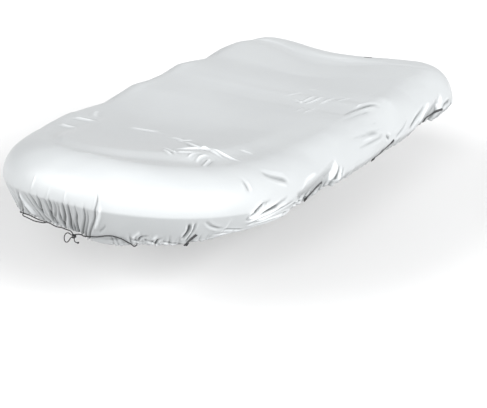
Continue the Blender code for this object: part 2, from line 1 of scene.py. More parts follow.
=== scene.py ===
"""Looks of a fitted cover for a small inflatable boat: its gathered cloth, cords and webbing.

The cloth is one fine sheet on the folds of its solid. A place on it is given by metres round the
edge from the bow's tip, starboard negative, and by a level: 90 to 0 is the angle up the tube,
and 0 to -1 is the share of the way down the skirt to the hem.
"""
import math
import random

import bmesh
import bpy
import numpy as np
from mathutils import Matrix, Vector
from mathutils.bvhtree import BVHTree
from mathutils.kdtree import KDTree


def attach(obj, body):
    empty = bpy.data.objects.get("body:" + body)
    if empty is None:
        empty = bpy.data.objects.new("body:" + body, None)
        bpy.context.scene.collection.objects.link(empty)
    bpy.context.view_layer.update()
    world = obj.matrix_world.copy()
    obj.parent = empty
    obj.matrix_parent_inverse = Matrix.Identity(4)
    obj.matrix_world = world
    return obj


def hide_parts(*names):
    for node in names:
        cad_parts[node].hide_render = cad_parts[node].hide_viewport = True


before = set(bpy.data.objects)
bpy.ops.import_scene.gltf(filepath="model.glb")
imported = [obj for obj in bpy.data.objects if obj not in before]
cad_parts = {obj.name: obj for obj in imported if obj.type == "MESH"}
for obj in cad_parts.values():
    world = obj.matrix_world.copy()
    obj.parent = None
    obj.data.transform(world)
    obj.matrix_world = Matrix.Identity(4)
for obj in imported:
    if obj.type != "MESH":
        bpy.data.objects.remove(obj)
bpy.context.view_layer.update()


def table(fields, *rows):
    """Records with the named fields, one for each row of values."""
    return tuple(dict(zip(fields.split(), row)) for row in rows)


def vectors(*rows):
    return tuple(Vector(row) for row in rows)


# The cover's outline and the cloth's section, as in the part's own sizes.
LENGTH = 3.60
BEAM = 1.90
BOW_LENGTH = 1.38
BOW_FULLNESS = 2.35
CORNER = 0.38
STERN_DIP = 0.12
STERN_START = 0.80
STERN_EASE = 0.55
STERN_PULL = 0.11
STERN_CROWN = 4.05
STERN_BLEND = 0.10
BOW_RISE = 0.183
TUBE = 0.237
EDGE_TURN = math.radians(34)
HEM_TURN = math.radians(46)
TOP_SAG = 0.020
CLOTH = 0.002
WIDEST = CLOTH + TOP_SAG - TUBE
LEAN_REACH = 34
BOW_POINTS = 321
CORNER_POINTS = 49
EDGE_LOOK = 0.03

# The skirt along its edge, the humps, and the flat facets above the straps.
SKIRT_PORT = table(
    "along drop turn lean",
    (0.00, 0.242, 0.150, 0.00),
    (0.06, 0.266, 0.146, 0.00),
    (0.17, 0.268, 0.136, 0.00),
    (0.30, 0.258, 0.128, 0.00),
    (0.46, 0.230, 0.125, 0.02),
    (0.70, 0.215, 0.122, 0.04),
    (0.85, 0.184, 0.098, 0.06),
    (1.13, 0.136, 0.070, 0.12),
    (1.42, 0.110, 0.060, 0.12),
    (1.78, 0.082, 0.045, 0.06),
    (2.10, 0.055, 0.040, 0.03),
    (3.00, 0.060, 0.045, 0.06),
    (3.60, 0.076, 0.062, 0.06),
    (4.00, 0.086, 0.080, 0.00),
    (4.92, 0.090, 0.065, 0.00),
)
SKIRT_STARBOARD = table(
    "along drop turn lean",
    (0.00, 0.242, 0.150, 0.00),
    (0.25, 0.228, 0.148, 0.00),
    (0.45, 0.214, 0.122, 0.00),
    (0.66, 0.210, 0.072, 0.03),
    (0.88, 0.186, 0.056, 0.06),
    (1.15, 0.130, 0.052, 0.10),
    (1.60, 0.085, 0.050, 0.06),
    (2.10, 0.058, 0.042, 0.03),
    (3.20, 0.062, 0.045, 0.06),
    (3.95, 0.090, 0.080, 0.00),
    (4.92, 0.090, 0.065, 0.00),
)
SWELLS = table(
    "along angle wide tall proud",
    (-0.72, 10, 0.34, 40, 0.026),
    (-1.56, 66, 0.24, 30, 0.018),
    (-2.36, 64, 0.20, 30, 0.030),
    (-2.91, 64, 0.22, 28, 0.030),
    (-3.20, 60, 0.18, 34, -0.021),
    (-3.70, 62, 0.16, 30, 0.004),
    (-3.90, 60, 0.20, 34, -0.020),
    (2.20, 62, 0.22, 26, 0.014),
    (2.98, 64, 0.15, 22, 0.020),
    (3.95, 60, 0.26, 30, 0.012),
    (2.76, 2, 0.14, 18, -0.014),
    (-2.76, 2, 0.14, 18, -0.014),
)
FACETS = table(
    "foot foot_up head head_up slope deep",
    (1.53, 0.045, 2.08, 0.135, 0.62, 0.042),
    (3.20, 0.010, 3.61, 0.140, 0.62, 0.042),
    (-1.60, 0.030, -2.10, 0.130, 0.55, 0.034),
    (-3.22, 0.010, -3.60, 0.130, 0.62, 0.038),
)

# The skirt's levels as degrees, the humps that are peaked, and how the facets end and how much shade is painted
# on them.
SKIRT_ANGLE = 30
TENT_ABOVE = 30
TENT_PEAK = 1.03
TENT_WIDE = 1.65
TENT_ROUND = 0.004
FACET_FORE = 0.45
FACET_AFT = 1.2
FACET_HEM = 0.55
FACET_PAINTED_SHADE = 10.0

# How far down the skirt the folds' direction turns, and how far the top's rows keep off the stern's crown.
STAND_TURN = 0.45
CROWN_INSET = 0.0004

# The fine sheet's mesh: the steps round the edge and how many of them each row over the top takes, the
# rings down the tube and the skirt, and those of the casing and behind it in metres up from the hem.
ZONES = table(
    "end step every",
    (0.62, 0.0036, 3),
    (0.95, 0.0055, 2),
    (2.10, 0.0115, 1),
    (2.42, 0.0145, 2),
    (2.98, 0.0115, 1),
    (99.0, 0.0150, 2),
)
TUBE_LEVELS = (*range(90, 34, -4), *(34 - 2.27 * k for k in range(15)))
SKIRT_RINGS = 24
CASING = (0.028, 0.025, 0.023, 0.021, 0.016, 0.010, 0.004, 0.0006)
TURNED_IN = ((0.0006, -0.0022), (0.005, -0.0040), (0.020, -0.0040))
TOP_FINE = 66
TOP_COARSE = 30
TOP_SPLIT = 0.44

# How a fold starts and ends along its line, and how far from the line it reaches in half widths.
FOLD_GROWS = 1.4
FOLD_TIP = 0.18
FOLD_FOOT = 0.25
CREASE_TIP = 0.3
OPEN_LEVEL = -0.98
FOLD_REACH = 5
TOP_SHARE = 0.5

# How strongly the tables' folds are drawn in, the deepest of them, and the depth of a crease that takes the
# full painted shade.
GATHER = 1.75
BLUR_ROUNDS = 1
SIDE_FOLDS = 1.5
GATHER_LIMIT = 0.024
CREASE_FULL = 0.011
TOP_CREASE = 1.5
TOP_CREASE_FULL = 0.010

# Faint waves of the whole cloth, round the edge and up it.
WAVE = {"tall": 0.0012, "round": 9.1, "start": 1.3, "up": 0.06, "turn": 2.1}
RIPPLE = {"tall": 0.0008, "round": 23.0, "bend": 0.7, "bends": 5, "up": 0.11}

# The hem's casing: its puff over the cord inside it, and the groove of its stitching.
CASING_WIDE = 0.022
CASING_PUFF = 0.0018
STITCH_WIDE = 0.0016
STITCH_DEEP = 0.0013
CASING_FULL = 0.7

# The gathers that the photo shows in the bow's skirt: from the top down to the foot, with the depth
# and half width of each groove, and how much of the depth it has at its top.
BOW_GATHERS = table(
    "line deep wide top",
    (((-0.640, 2), (-0.610, -0.30), (-0.620, -0.70), (-0.680, -1.0)), 0.010, 0.008, 0.3),
    (((-0.590, 3), (-0.562, -0.25), (-0.560, -0.60), (-0.640, -1.0)), 0.008, 0.006, 0.3),
    (((-0.546, 4), (-0.522, -0.16), (-0.474, -0.35), (-0.610, -1.0)), 0.009, 0.007, 0.4),
    (((-0.492, 3), (-0.474, -0.35), (-0.520, -1.0)), 0.006, 0.006, 0.3),
    (((-0.378, 5), (-0.456, -0.40), (-0.414, -0.60), (-0.430, -1.0)), 0.014, 0.011, 0.3),
    (((-0.336, 4), (-0.324, -0.55), (-0.345, -1.0)), 0.006, 0.005, 0.4),
    (((-0.300, 6), (-0.276, -0.08), (-0.276, -0.415), (-0.270, -1.0)), 0.010, 0.009, 0.3),
    (((-0.222, 8), (-0.210, -0.13), (-0.264, -0.61), (-0.235, -1.0)), 0.010, 0.007, 0.4),
    (((-0.144, 6), (-0.156, -0.27), (-0.174, -0.50), (-0.195, -1.0)), 0.007, 0.007, 0.4),
    (((-0.114, 8), (-0.126, -0.23), (-0.210, -0.81), (-0.180, -1.0)), 0.010, 0.006, 0.5),
    (((-0.072, 5), (-0.096, -0.31), (-0.180, -0.755), (-0.160, -1.0)), 0.007, 0.006, 0.4),
    (((-0.120, -0.45), (-0.168, -0.86), (-0.140, -1.0)), 0.006, 0.005, 0.1),
    (((-0.036, 4), (-0.090, -0.475), (-0.120, -1.0)), 0.007, 0.006, 0.4),
    (((-0.006, 7), (-0.042, -0.415), (-0.108, -0.84), (-0.098, -1.0)), 0.010, 0.006, 0.5),
    (((-0.078, -0.45), (-0.126, -0.80), (-0.080, -1.0)), 0.005, 0.005, 0.1),
    (((0.036, 7), (-0.006, -0.455), (-0.054, -0.86), (-0.050, -1.0)), 0.010, 0.006, 0.5),
    (((0.078, 5), (0.066, -0.25), (0.030, -0.48)), 0.004, 0.006, 0.6),
    (((0.024, -0.42), (-0.030, -0.90), (-0.026, -1.0)), 0.008, 0.005, 0.1),
    (((0.084, -0.10), (-0.006, -0.93), (-0.004, -1.0)), 0.009, 0.006, 0.2),
    (((0.144, 8), (0.120, -0.29), (0.066, -0.66), (0.022, -1.0)), 0.010, 0.006, 0.5),
    (((0.162, 5), (0.138, -0.33), (0.084, -0.70), (0.044, -1.0)), 0.008, 0.006, 0.4),
    (((0.216, 33), (0.222, 15), (0.210, 1.5), (0.186, -0.29), (0.120, -0.68), (0.070, -1.0)),
     0.008, 0.005, 0.5),
    (((0.264, -0.36), (0.228, -0.51), (0.180, -0.66)), 0.007, 0.005, 0.5),
    (((0.234, -0.70), (0.300, -0.76), (0.360, -0.74)), 0.006, 0.005, 0.4),
    (((0.126, -0.88), (0.258, -0.83), (0.354, -0.80)), 0.006, 0.006, 0.4),
    (((0.395, -0.78), (0.425, -0.85), (0.460, -0.91)), 0.006, 0.005, 0.9),
    (((0.480, -0.78), (0.540, -0.88), (0.605, -0.97)), 0.007, 0.005, 0.9),
    (((0.610, -0.87), (0.680, -0.93), (0.750, -0.99)), 0.007, 0.005, 0.9),
)
BOW_RIDGES = table(
    "line deep wide top",
    (((0.240, 10), (0.240, 0), (0.222, -0.20), (0.162, -0.60)), 0.006, 0.008, 0.6),
    (((-0.405, 2), (-0.400, -0.30), (-0.375, -0.9)), 0.009, 0.016, 0.5),
    (((-0.252, 30), (-0.252, 16.5), (-0.264, 4.5)), 0.0022, 0.007, 0.4),
    (((-0.108, 18), (-0.120, 9), (-0.124, 2)), 0.0018, 0.006, 0.4),
    (((0.012, 21), (0.006, 10.5), (0.000, 2)), 0.0022, 0.006, 0.4),
    (((0.468, -0.51), (0.408, -0.78)), 0.006, 0.007, 0.6),
    (((0.582, -0.61), (0.534, -0.80)), 0.006, 0.007, 0.6),
    (((0.990, -0.10), (1.010, -0.40), (0.985, -0.80)), 0.003, 0.008, 0.5),
)

# The fan of folds that draws in beside the bow on the port side, and the tube's own wrinkles.
SIDE_TROUGHS = table(
    "line deep wide top",
    (((0.528, -0.645), (0.470, -0.72), (0.444, -0.90)), 0.007, 0.006, 0.4),
    (((0.620, -0.70), (0.580, -0.80), (0.560, -1.0)), 0.006, 0.006, 0.4),
    (((0.750, -0.16), (0.762, -0.45), (0.735, -0.80)), 0.007, 0.009, 0.6),
    (((0.786, -0.10), (0.790, -0.50), (0.770, -0.95)), 0.005, 0.007, 0.5),
    (((0.834, -0.10), (0.900, -0.35), (0.990, -0.59)), 0.0035, 0.008, 0.5),
    (((0.990, -0.59), (1.080, -0.78), (1.176, -0.90)), 0.004, 0.006, 0.8),
    (((0.930, -0.75), (1.030, -0.86), (1.120, -0.90)), 0.004, 0.005, 0.6),
    (((1.206, 12), (1.170, 1.5), (1.128, -0.23)), 0.010, 0.008, 0.4),
    (((1.380, 1.5), (1.242, -0.10), (1.134, -0.45)), 0.011, 0.009, 0.4),
    (((1.782, -0.68), (1.560, -0.62), (1.404, -0.55), (1.158, -0.68)), 0.008, 0.006, 0.5),
    (((1.866, -0.645), (1.530, -0.68), (1.398, -0.84), (1.224, -0.84)), 0.007, 0.006, 0.4),
    (((1.284, 13.5), (1.188, 9), (1.140, -0.05), (1.128, -0.47)), 0.007, 0.007, 0.4),
    (((1.236, 10.5), (1.200, 3)), 0.004, 0.006, 0.7),
    (((1.440, 10.5), (1.330, 3), (1.230, -0.15)), 0.006, 0.009, 0.4),
    (((1.560, 6), (1.440, -0.10), (1.314, -0.31), (1.242, -0.475), (1.158, -0.755)), 0.007, 0.008, 0.3),
    (((1.068, 52.5), (1.080, 40.5), (1.074, 30)), 0.003, 0.010, 0.6),
    (((1.242, 58.5), (1.320, 45), (1.452, 31.5)), 0.004, 0.016, 0.6),
    (((3.366, 28.5), (3.282, 22.5), (3.192, 16.5), (3.114, 9), (3.060, 6)), 0.0060, 0.010, 0.5),
    (((3.078, 25.5), (3.006, 15), (2.874, 4.5)), 0.0045, 0.008, 0.5),
    (((3.786, 10.5), (3.660, 9), (3.624, 3)), 0.0060, 0.010, 0.5),
    (((3.762, 3), (3.696, -0.65)), 0.007, 0.010, 0.6),
    (((3.500, 3), (3.460, -0.5), (3.420, -1.0)), 0.006, 0.008, 0.3),
    (((2.120, 20), (2.090, 8), (2.070, -0.3)), 0.006, 0.012, 0.4),
    (((2.170, 14), (2.140, 3), (2.110, -0.6)), 0.005, 0.010, 0.4),
    (((2.520, 90), (2.742, 84), (2.850, 73.5), (2.856, 63)), 0.0055, 0.014, 0.4),
    (((2.376, 73.5), (2.502, 76.5), (2.670, 72), (2.808, 64.5)), 0.0040, 0.011, 0.4),
    (((2.604, 48), (2.660, 46), (2.724, 43.5)), 0.0034, 0.009, 0.6),
    (((2.514, 43.5), (2.620, 38), (2.724, 33)), 0.0042, 0.009, 0.5),
    (((2.304, 46.5), (2.544, 36), (2.724, 27)), 0.0046, 0.010, 0.4),
    (((2.346, 25.5), (2.580, 22.5), (2.754, 19.5)), 0.0040, 0.009, 0.4),
    (((2.544, 28.5), (2.640, 26), (2.736, 24)), 0.0030, 0.008, 0.5),
    (((2.748, 19.5), (2.780, 14), (2.814, 9)), 0.005, 0.010, 0.6),
)
SIDE_RIDGES = table(
    "line deep wide top",
    (((1.220, 6), (1.190, -0.10), (1.150, -0.40)), 0.006, 0.010, 0.5),
    (((1.554, 6), (1.608, 16.5), (1.674, 24), (1.824, 27)), 0.004, 0.010, 0.5),
    (((2.080, 24), (2.050, 8), (2.030, -0.50)), 0.006, 0.010, 0.6),
    (((3.216, 4.5), (3.270, 9), (3.306, 16.5), (3.378, 24), (3.438, 28.5)), 0.006, 0.010, 0.6),
)

# Creases on the top panel, in metres from the origin: thin ridges beside shallow troughs.
TOP_CREASES = table(
    "line deep wide",
    (((0.215, -1.110), (0.262, -1.136), (0.345, -1.178)), 0.0055, 0.0075),
    (((0.185, -1.050), (0.260, -1.095), (0.360, -1.140)), 0.0055, 0.0075),
    (((0.225, -1.060), (0.300, -0.990), (0.395, -0.912), (0.527, -0.904), (0.687, -0.914)), 0.0075, 0.0100),
    (((0.300, -1.130), (0.380, -1.070), (0.450, -0.995)), 0.0055, 0.0080),
    (((0.150, -0.775), (0.230, -0.830), (0.330, -0.890), (0.470, -0.930), (0.600, -0.935)), 0.0065, 0.0095),
    (((0.120, -0.815), (0.160, -0.760), (0.200, -0.715)), 0.0045, 0.0085),
    (((0.655, -1.190), (0.645, -1.098), (0.666, -1.010), (0.710, -0.895)), 0.0050, 0.0095),
    (((0.585, -1.225), (0.545, -1.120), (0.510, -1.015)), 0.0055, 0.0085),
    (((0.505, -1.170), (0.470, -1.080), (0.485, -0.990)), 0.0045, 0.0085),
    (((0.430, -1.150), (0.420, -1.080), (0.440, -1.010)), 0.0040, 0.0080),
    (((0.530, -0.735), (0.585, -0.725), (0.640, -0.730)), 0.0035, 0.0085),
    (((0.360, 0.350), (0.400, 0.470), (0.420, 0.590)), 0.0034, 0.0085),
    (((0.315, 0.340), (0.340, 0.450), (0.355, 0.580)), 0.0034, 0.0085),
    (((0.452, 0.390), (0.480, 0.500), (0.500, 0.600)), 0.0031, 0.0085),
    (((0.460, 0.160), (0.472, 0.260), (0.478, 0.355)), 0.0028, 0.0085),
    (((0.400, 0.180), (0.405, 0.250), (0.398, 0.320)), 0.0022, 0.0085),
    (((0.165, 0.460), (0.210, 0.535), (0.245, 0.600)), 0.0028, 0.0085),
    (((0.240, 0.440), (0.300, 0.410), (0.365, 0.375)), 0.0028, 0.0085),
    (((0.235, 0.670), (0.280, 0.664), (0.320, 0.670)), 0.0022, 0.0085),
    (((0.545, 0.480), (0.565, 0.570), (0.600, 0.640)), 0.0022, 0.0090),
    (((-0.720, -0.780), (-0.620, -0.770), (-0.500, -0.785)), 0.0042, 0.0180),
    (((-0.690, -0.955), (-0.600, -0.975), (-0.500, -0.990)), 0.0042, 0.0180),
    (((-0.580, -0.700), (-0.640, -0.620), (-0.680, -0.530)), 0.0034, 0.0180),
    (((-0.300, -0.745), (-0.190, -0.700), (-0.080, -0.650)), 0.0036, 0.0180),
    (((0.020, -0.730), (0.085, -0.742), (0.150, -0.750)), 0.0036, 0.0110),
)

# The bow's shoulder: a low rise of the top panel behind its round, from places across it.
SHOULDER = table(
    "x y",
    (-0.80, -1.20),
    (-0.58, -1.34),
    (-0.38, -1.30),
    (-0.13, -1.35),
    (0.05, -1.30),
    (0.36, -1.08),
    (0.69, -0.88),
    (0.90, -0.60),
)
SHOULDER_RISE = 0.036
SHOULDER_FORE = 0.22
SHOULDER_AFT = 0.95
SHOULDER_HALF = 0.9
SHOULDER_SIDE = 0.4
SHOULDER_EDGE = 4

# Gathers that the photo doesn't show one by one: how many between two places, how far up each starts,
# and between which bounds each differs from the others.
MORE_GATHERS = table(
    "start end count deep wide reach",
    (-1.30, -0.66, 15, 0.007, 0.012, 10),
    (-3.25, -1.30, 32, 0.005, 0.014, 7),
    (-4.25, -3.25, 20, 0.008, 0.015, 14),
    (-4.90, -4.25, 12, 0.005, 0.015, 8),
    (0.26, 0.95, 18, 0.0030, 0.008, -0.55),
    (1.60, 3.30, 28, 0.0045, 0.014, 6),
    (3.30, 4.25, 19, 0.008, 0.015, 14),
    (4.25, 4.90, 12, 0.005, 0.015, 8),
)
GATHER_SEED = 21
GATHER_PLACE = (0.15, 0.85)
GATHER_SLANT = (-0.020, 0.020)
GATHER_REACH = (0.5, 1.3)
GATHER_BEND = (-0.006, 0.006)
GATHER_LEAN = 0.4
GATHER_MIDDLE = -0.35
GATHER_BELOW = 0.2
GATHER_DEEP = (0.55, 1.25)
GATHER_WIDE = (0.7, 1.3)
GATHER_TOP = 0.15

# The draw cord's routes and the tie, whose cords start inside its knot, as in the part's own tables.
CORD = 0.007
CORD_STEP = 0.016
CORD_GAP = 0.0007
CORD_REST = CORD / 2 + CORD_GAP
CORD_UNDER = -0.012
CORD_BEHIND = -0.040
SKIRT_DEPTH = 0.20
HEM_LEVEL = -0.985
RIDGE_SPREAD = 0.030
RIDGE_LOOK = 0.080
RIDGE_STEPS = 6
SETTLE_ROUNDS = 14
SETTLE_SHARES = (0.0, 0.25, 0.5, 0.75)
DRAW_STARBOARD = table(
    "along level height",
    (-0.690, -0.95, CORD_BEHIND),
    (-0.682, -1.07, CORD_UNDER),
    (-0.664, -1.07, 0.000),
    (-0.640, -0.99, CORD_REST),
    (-0.560, -0.97, CORD_REST),
    (-0.420, -0.98, CORD_REST),
    (-0.270, -0.98, CORD_REST),
    (-0.170, -0.98, CORD_REST),
    (-0.085, -0.99, CORD_REST),
)
DRAW_PORT = table(
    "along level height",
    (0.000, -0.98, CORD_REST),
    (0.050, -0.88, CORD_REST),
    (0.100, -0.82, CORD_REST),
    (0.160, -0.77, CORD_REST),
    (0.220, -0.70, CORD_REST),
    (0.290, -0.66, CORD_REST),
    (0.340, -0.72, CORD_REST),
    (0.375, -0.84, CORD_REST),
    (0.402, -0.95, CORD_REST),
    (0.420, -1.07, 0.000),
    (0.436, -1.07, CORD_UNDER),
    (0.444, -0.95, CORD_BEHIND),
)
SLACK = table(
    "along level height",
    (-0.642, -0.95, CORD_BEHIND),
    (-0.632, -1.08, CORD_UNDER),
    (-0.610, -1.05, 0.006),
    (-0.570, -1.01, 0.017),
    (-0.500, -1.00, 0.022),
    (-0.430, -1.01, 0.019),
    (-0.387, -1.04, 0.010),
    (-0.366, -1.09, 0.000),
    (-0.352, -1.08, CORD_UNDER),
    (-0.340, -0.95, CORD_BEHIND),
)
TIE_CORD = 0.006
TIE_STEP = 0.010
KNOT = Vector((-0.040, -1.668, -0.294))
KNOT_HALF = Vector((0.0165, 0.0135, 0.0150))
INTO_LEFT = vectors((-0.013, 0.006, 0.010), (-0.005, 0.002, 0.004))
INTO_RIGHT = vectors((0.005, 0.002, 0.004), (0.013, 0.006, 0.010))
END_KNOT_HALF = Vector((0.0065, 0.0065, 0.0065))
END_KNOT_OFF = 0.0020
KNOT_LEFT = vectors((-0.012, 0.006, 0.009), (-0.021, 0.009, 0.015))
KNOT_RIGHT = vectors((0.012, 0.006, 0.009), (0.021, 0.009, 0.015))
LOOP = vectors(
    (-0.0070, -0.0040, 0.0040),
    (-0.0135, -0.010, 0.0085),
    (-0.0220, -0.018, 0.0200),
    (-0.0330, -0.024, 0.0210),
    (-0.0440, -0.030, 0.0080),
    (-0.0490, -0.032, -0.0120),
    (-0.0460, -0.031, -0.0310),
    (-0.0370, -0.026, -0.0390),
    (-0.0260, -0.020, -0.0300),
    (-0.0190, -0.014, -0.0160),
    (-0.0125, -0.008, -0.0080),
    (-0.0060, -0.0020, -0.0050),
)
TAIL = vectors(
    (0.0020, -0.0010, -0.0090),
    (0.0035, -0.003, -0.0170),
    (0.0045, -0.004, -0.0270),
    (0.0090, -0.003, -0.0350),
    (0.0160, 0.000, -0.0385),
    (0.0240, 0.003, -0.0390),
)

# A cord's mesh: its curve, sides and steps, the strands that cross on it, its rounded ends, and the knots'.
CURVE_PIECES = 20
CORD_SIDES = 14
BRAID_STEP = 0.0012
BRAID = 0.05
STRANDS = 4
STRAND_TURN = 1.15
STRAND_OFF = 1.1
FIRST_NORMAL = Vector((0.3, 0.2, 1))
TIP_START = 0.55
TIP_GROWS = 0.25
KNOT_PLACES = 48
KNOT_SIDES = 12
KNOT_BRAID = 0.06
KNOT_STEP = 0.0009
KNOT_RADIUS = 0.0039
END_KNOT_RADIUS = 0.0024

# The webbing, its end folded over a bar, and the fitting there with the bars across its frame.
WEB_WIDTH = 0.016
WEB_END_SHARE = 0.92
WEB_THICK = 0.0012
WEB_NEAREST = 6
WEB_FOLD = (
    (-0.0008, -0.0008), (0.0010, 0.0016), (0.0040, 0.0022),
    (0.0062, 0.0008), (0.0056, -0.0018), (0.0030, -0.0024),
)
WEB_PIECES = 5
WEB_MERGE = 0.00002
BUCKLE_LONG = 0.028
BUCKLE_WIDE = 0.027
BUCKLE_THICK = 0.006
BUCKLE_TAPER = 0.62
BUCKLE_RAIL = 0.0034
BUCKLE_BEVEL = 0.0006
BUCKLE_BARS = table(
    "at long thick",
    (-0.0120, 0.0036, 0.0030),
    (-0.0020, 0.0050, 0.0050),
    (0.0060, 0.0040, 0.0040),
    (0.0118, 0.0044, 0.0060),
)

# Where the fine sheet keeps to its solid, under the webbing and the tie.
PRESS_NEAR = 0.017
PRESS_FAR = 0.045

# The camera, in metres, degrees and millimetres, and the floor.
AZIMUTH = 31.486
ELEVATION = 22.327
CAMERA = Vector((5.3637, -8.5699, 3.487))
LENS = 118.53
SENSOR = 36
FLOOR = -0.85
FLOOR_HALF = 40
FLOOR_GREY = (0.69, 0.69, 0.69)

# Four wide, soft lamps round the cover, azimuths from the bow towards port, and the sky over them.
LIGHTS = table(
    "name azimuth elevation power wide",
    ("port", 80, 24, 5.0, 36),
    ("front", 22, 25, 2.5, 36),
    ("stern", 190, 18, 0.8, 50),
    ("starboard", -42, 24, 3.1, 36),
)
SKY = 0.265
SKY_COLOUR = (0.97, 0.985, 1.0, 1)

# Colours: each material's own, the two that its fine grain lies between, and the cloth's painted shade and
# painted highlight.
COAT = (0.38, 0.40, 0.41)
COAT_TINTS = ((0.370, 0.383, 0.391, 1), (0.402, 0.416, 0.421, 1))
COAT_SHADED = (0.040, 0.047, 0.048, 1)
COAT_PAINTED_HIGHLIGHT = (0.62, 0.64, 0.65, 1)
CORD_BLACK = (0.007, 0.0075, 0.008)
CORD_TINTS = ((0.004, 0.0042, 0.0045, 1), (0.013, 0.014, 0.015, 1))
WEB_BLACK = (0.010, 0.011, 0.012)
WEB_TINTS = ((0.022, 0.023, 0.026, 1), (0.006, 0.006, 0.007, 1))
PLASTIC_BLACK = (0.015, 0.015, 0.016)


# ---------------------------------------------------------------- the cloth's shape


def ease(share):
    share = np.clip(share, 0, 1)
    return share * share * (3 - 2 * share)


def stern_dip(x):
    return STERN_DIP * (0.5 + 0.5 * np.cos(np.pi * np.minimum(1, np.abs(x) / (BEAM / 2 - CORNER))))


def half_outline():
    """The widest line seen from above, from the bow's tip down the port side to the stern."""
    side = BEAM / 2
    flat = side - CORNER
    turn = np.linspace(0, np.pi / 2, BOW_POINTS)
    x = side * np.sin(turn) ** (2 / BOW_FULLNESS)
    y = BOW_LENGTH * (1 - np.maximum(0, np.cos(turn)) ** (2 / BOW_FULLNESS)) - LENGTH / 2
    turn = np.linspace(0, np.pi / 2, CORNER_POINTS)[1:]
    corner_x = flat + CORNER * np.cos(turn)
    corner_y = LENGTH / 2 - CORNER + CORNER * np.sin(turn)
    stern_x = flat * (1 - np.linspace(0, 1, CORNER_POINTS)[1:])
    stern_y = LENGTH / 2 - stern_dip(stern_x)
    return np.concatenate((x, corner_x, stern_x)), np.concatenate((y, corner_y, stern_y))


HALF_X, HALF_Y = half_outline()
RUN = np.concatenate(([0], np.cumsum(np.hypot(np.diff(HALF_X), np.diff(HALF_Y)))))
EDGE = RUN[-1]


def half_point(along):
    """Points of the half outline at lengths along it, mirrored past its two ends."""
    before, after = along < 0, along > EDGE
    inner = np.where(before, -along, np.where(after, 2 * EDGE - along, along))
    x = np.interp(inner, RUN, HALF_X)
    y = np.interp(inner, RUN, HALF_Y)
    return np.where(before | after, -x, x), y


def edge_at(along):
    """The widest line's points and outward directions, with starboard lengths negative."""
    side = np.where(along >= 0, 1.0, -1.0)
    length = np.minimum(np.abs(along), EDGE)
    x1, y1 = half_point(length + EDGE_LOOK)
    x0, y0 = half_point(length - EDGE_LOOK)
    span = np.hypot(x1 - x0, y1 - y0)
    x, y = half_point(length)
    z = WIDEST + BOW_RISE * np.maximum(0, -y / (LENGTH / 2)) ** 2
    out = np.stack((side * (y1 - y0) / span, -(x1 - x0) / span, np.zeros_like(x)), -1)
    return np.stack((side * x, y, z), -1), out


def column(rows, along, name):
    """A column of a table at lengths along the edge, eased between its rows."""
    at = np.array([row["along"] for row in rows])
    value = np.array([row[name] for row in rows])
    i = np.clip(np.searchsorted(at, along) - 1, 0, len(at) - 2)
    return value[i] + (value[i + 1] - value[i]) * ease((along - at[i]) / (at[i + 1] - at[i]))


def skirt(along, name):
    """One of the skirt's sizes at places round the edge."""
    length = np.abs(along)
    return np.where(along >= 0, column(SKIRT_PORT, length, name), column(SKIRT_STARBOARD, length, name))


def even_face(along, level):
    """Points of the outer face without its folds, and the directions that it faces there."""
    rise = ease(np.where(level <= 0, 0.5 + 0.5 * level, 0.5 + 0.5 * level / LEAN_REACH))
    edge, out = edge_at(along + np.where(along >= 0, 1, -1) * skirt(along, "lean") * rise)
    up = np.array((0.0, 0.0, 1.0))
    angle = np.radians(np.maximum(level, 0))[..., None]
    above = edge - out * TUBE * (1 - np.cos(angle)) + up * TUBE * np.sin(angle)
    facing_above = out * np.cos(angle) + up * np.sin(angle)
    turned = (EDGE_TURN - (HEM_TURN - EDGE_TURN) * np.minimum(level, 0))[..., None]
    inboard = (math.cos(EDGE_TURN) - np.cos(turned)) / (math.cos(EDGE_TURN) - math.cos(HEM_TURN))
    down = (np.sin(turned) - math.sin(EDGE_TURN)) / (math.sin(HEM_TURN) - math.sin(EDGE_TURN))
    below = edge - out * skirt(along, "turn")[..., None] * inboard - up * skirt(along, "drop")[..., None] * down
    facing_below = out * np.cos(turned) - up * np.sin(turned)
    high = (level >= 0)[..., None]
    return np.where(high, above, below), np.where(high, facing_above, facing_below)


def skirt_length(along):
    """How far it is from the widest line down to the hem."""
    return np.hypot(skirt(along, "drop"), skirt(along, "turn"))


def upward(along, level):
    """Metres up the cloth from the widest line."""
    return np.where(level >= 0, TUBE * np.radians(level), skirt_length(along) * level)


def swell(along, level):
    """How far the humps stand off the even face; those high on the tube are peaked like a tent."""
    angle = np.where(level >= 0, level, SKIRT_ANGLE * level)
    total = np.zeros_like(angle)
    for row in SWELLS:
        u = (along - row["along"]) / row["wide"]
        v = (angle - row["angle"]) / row["tall"]
        shape = np.exp(-u * u)
        if row["proud"] > 0 and row["angle"] > TENT_ABOVE:
            shape = np.maximum(0, TENT_PEAK - np.sqrt(u * u + TENT_ROUND) / TENT_WIDE)
        total += row["proud"] * shape * np.exp(-v * v)
    return total


def facet(along, level):
    """How far the facets pull the cloth in."""
    total = np.zeros_like(level)
    for row in FACETS:
        side = math.copysign(1, row["head"])
        length, foot, head = along * side, row["foot"] * side, row["head"] * side
        up = np.where(level >= 0, TUBE * np.radians(level), skirt(along, "drop") * level)
        crease = row["foot_up"] + (row["head_up"] - row["foot_up"]) * (length - foot) / (head - foot)
        sides = np.minimum((length - foot) * FACET_FORE, (head - length) * FACET_AFT)
        depth = np.clip(np.minimum((crease - up) * row["slope"], sides), 0, row["deep"])
        total += depth * (1 + (1 - FACET_HEM) * np.minimum(0, level)) * (length > 0)
    return total


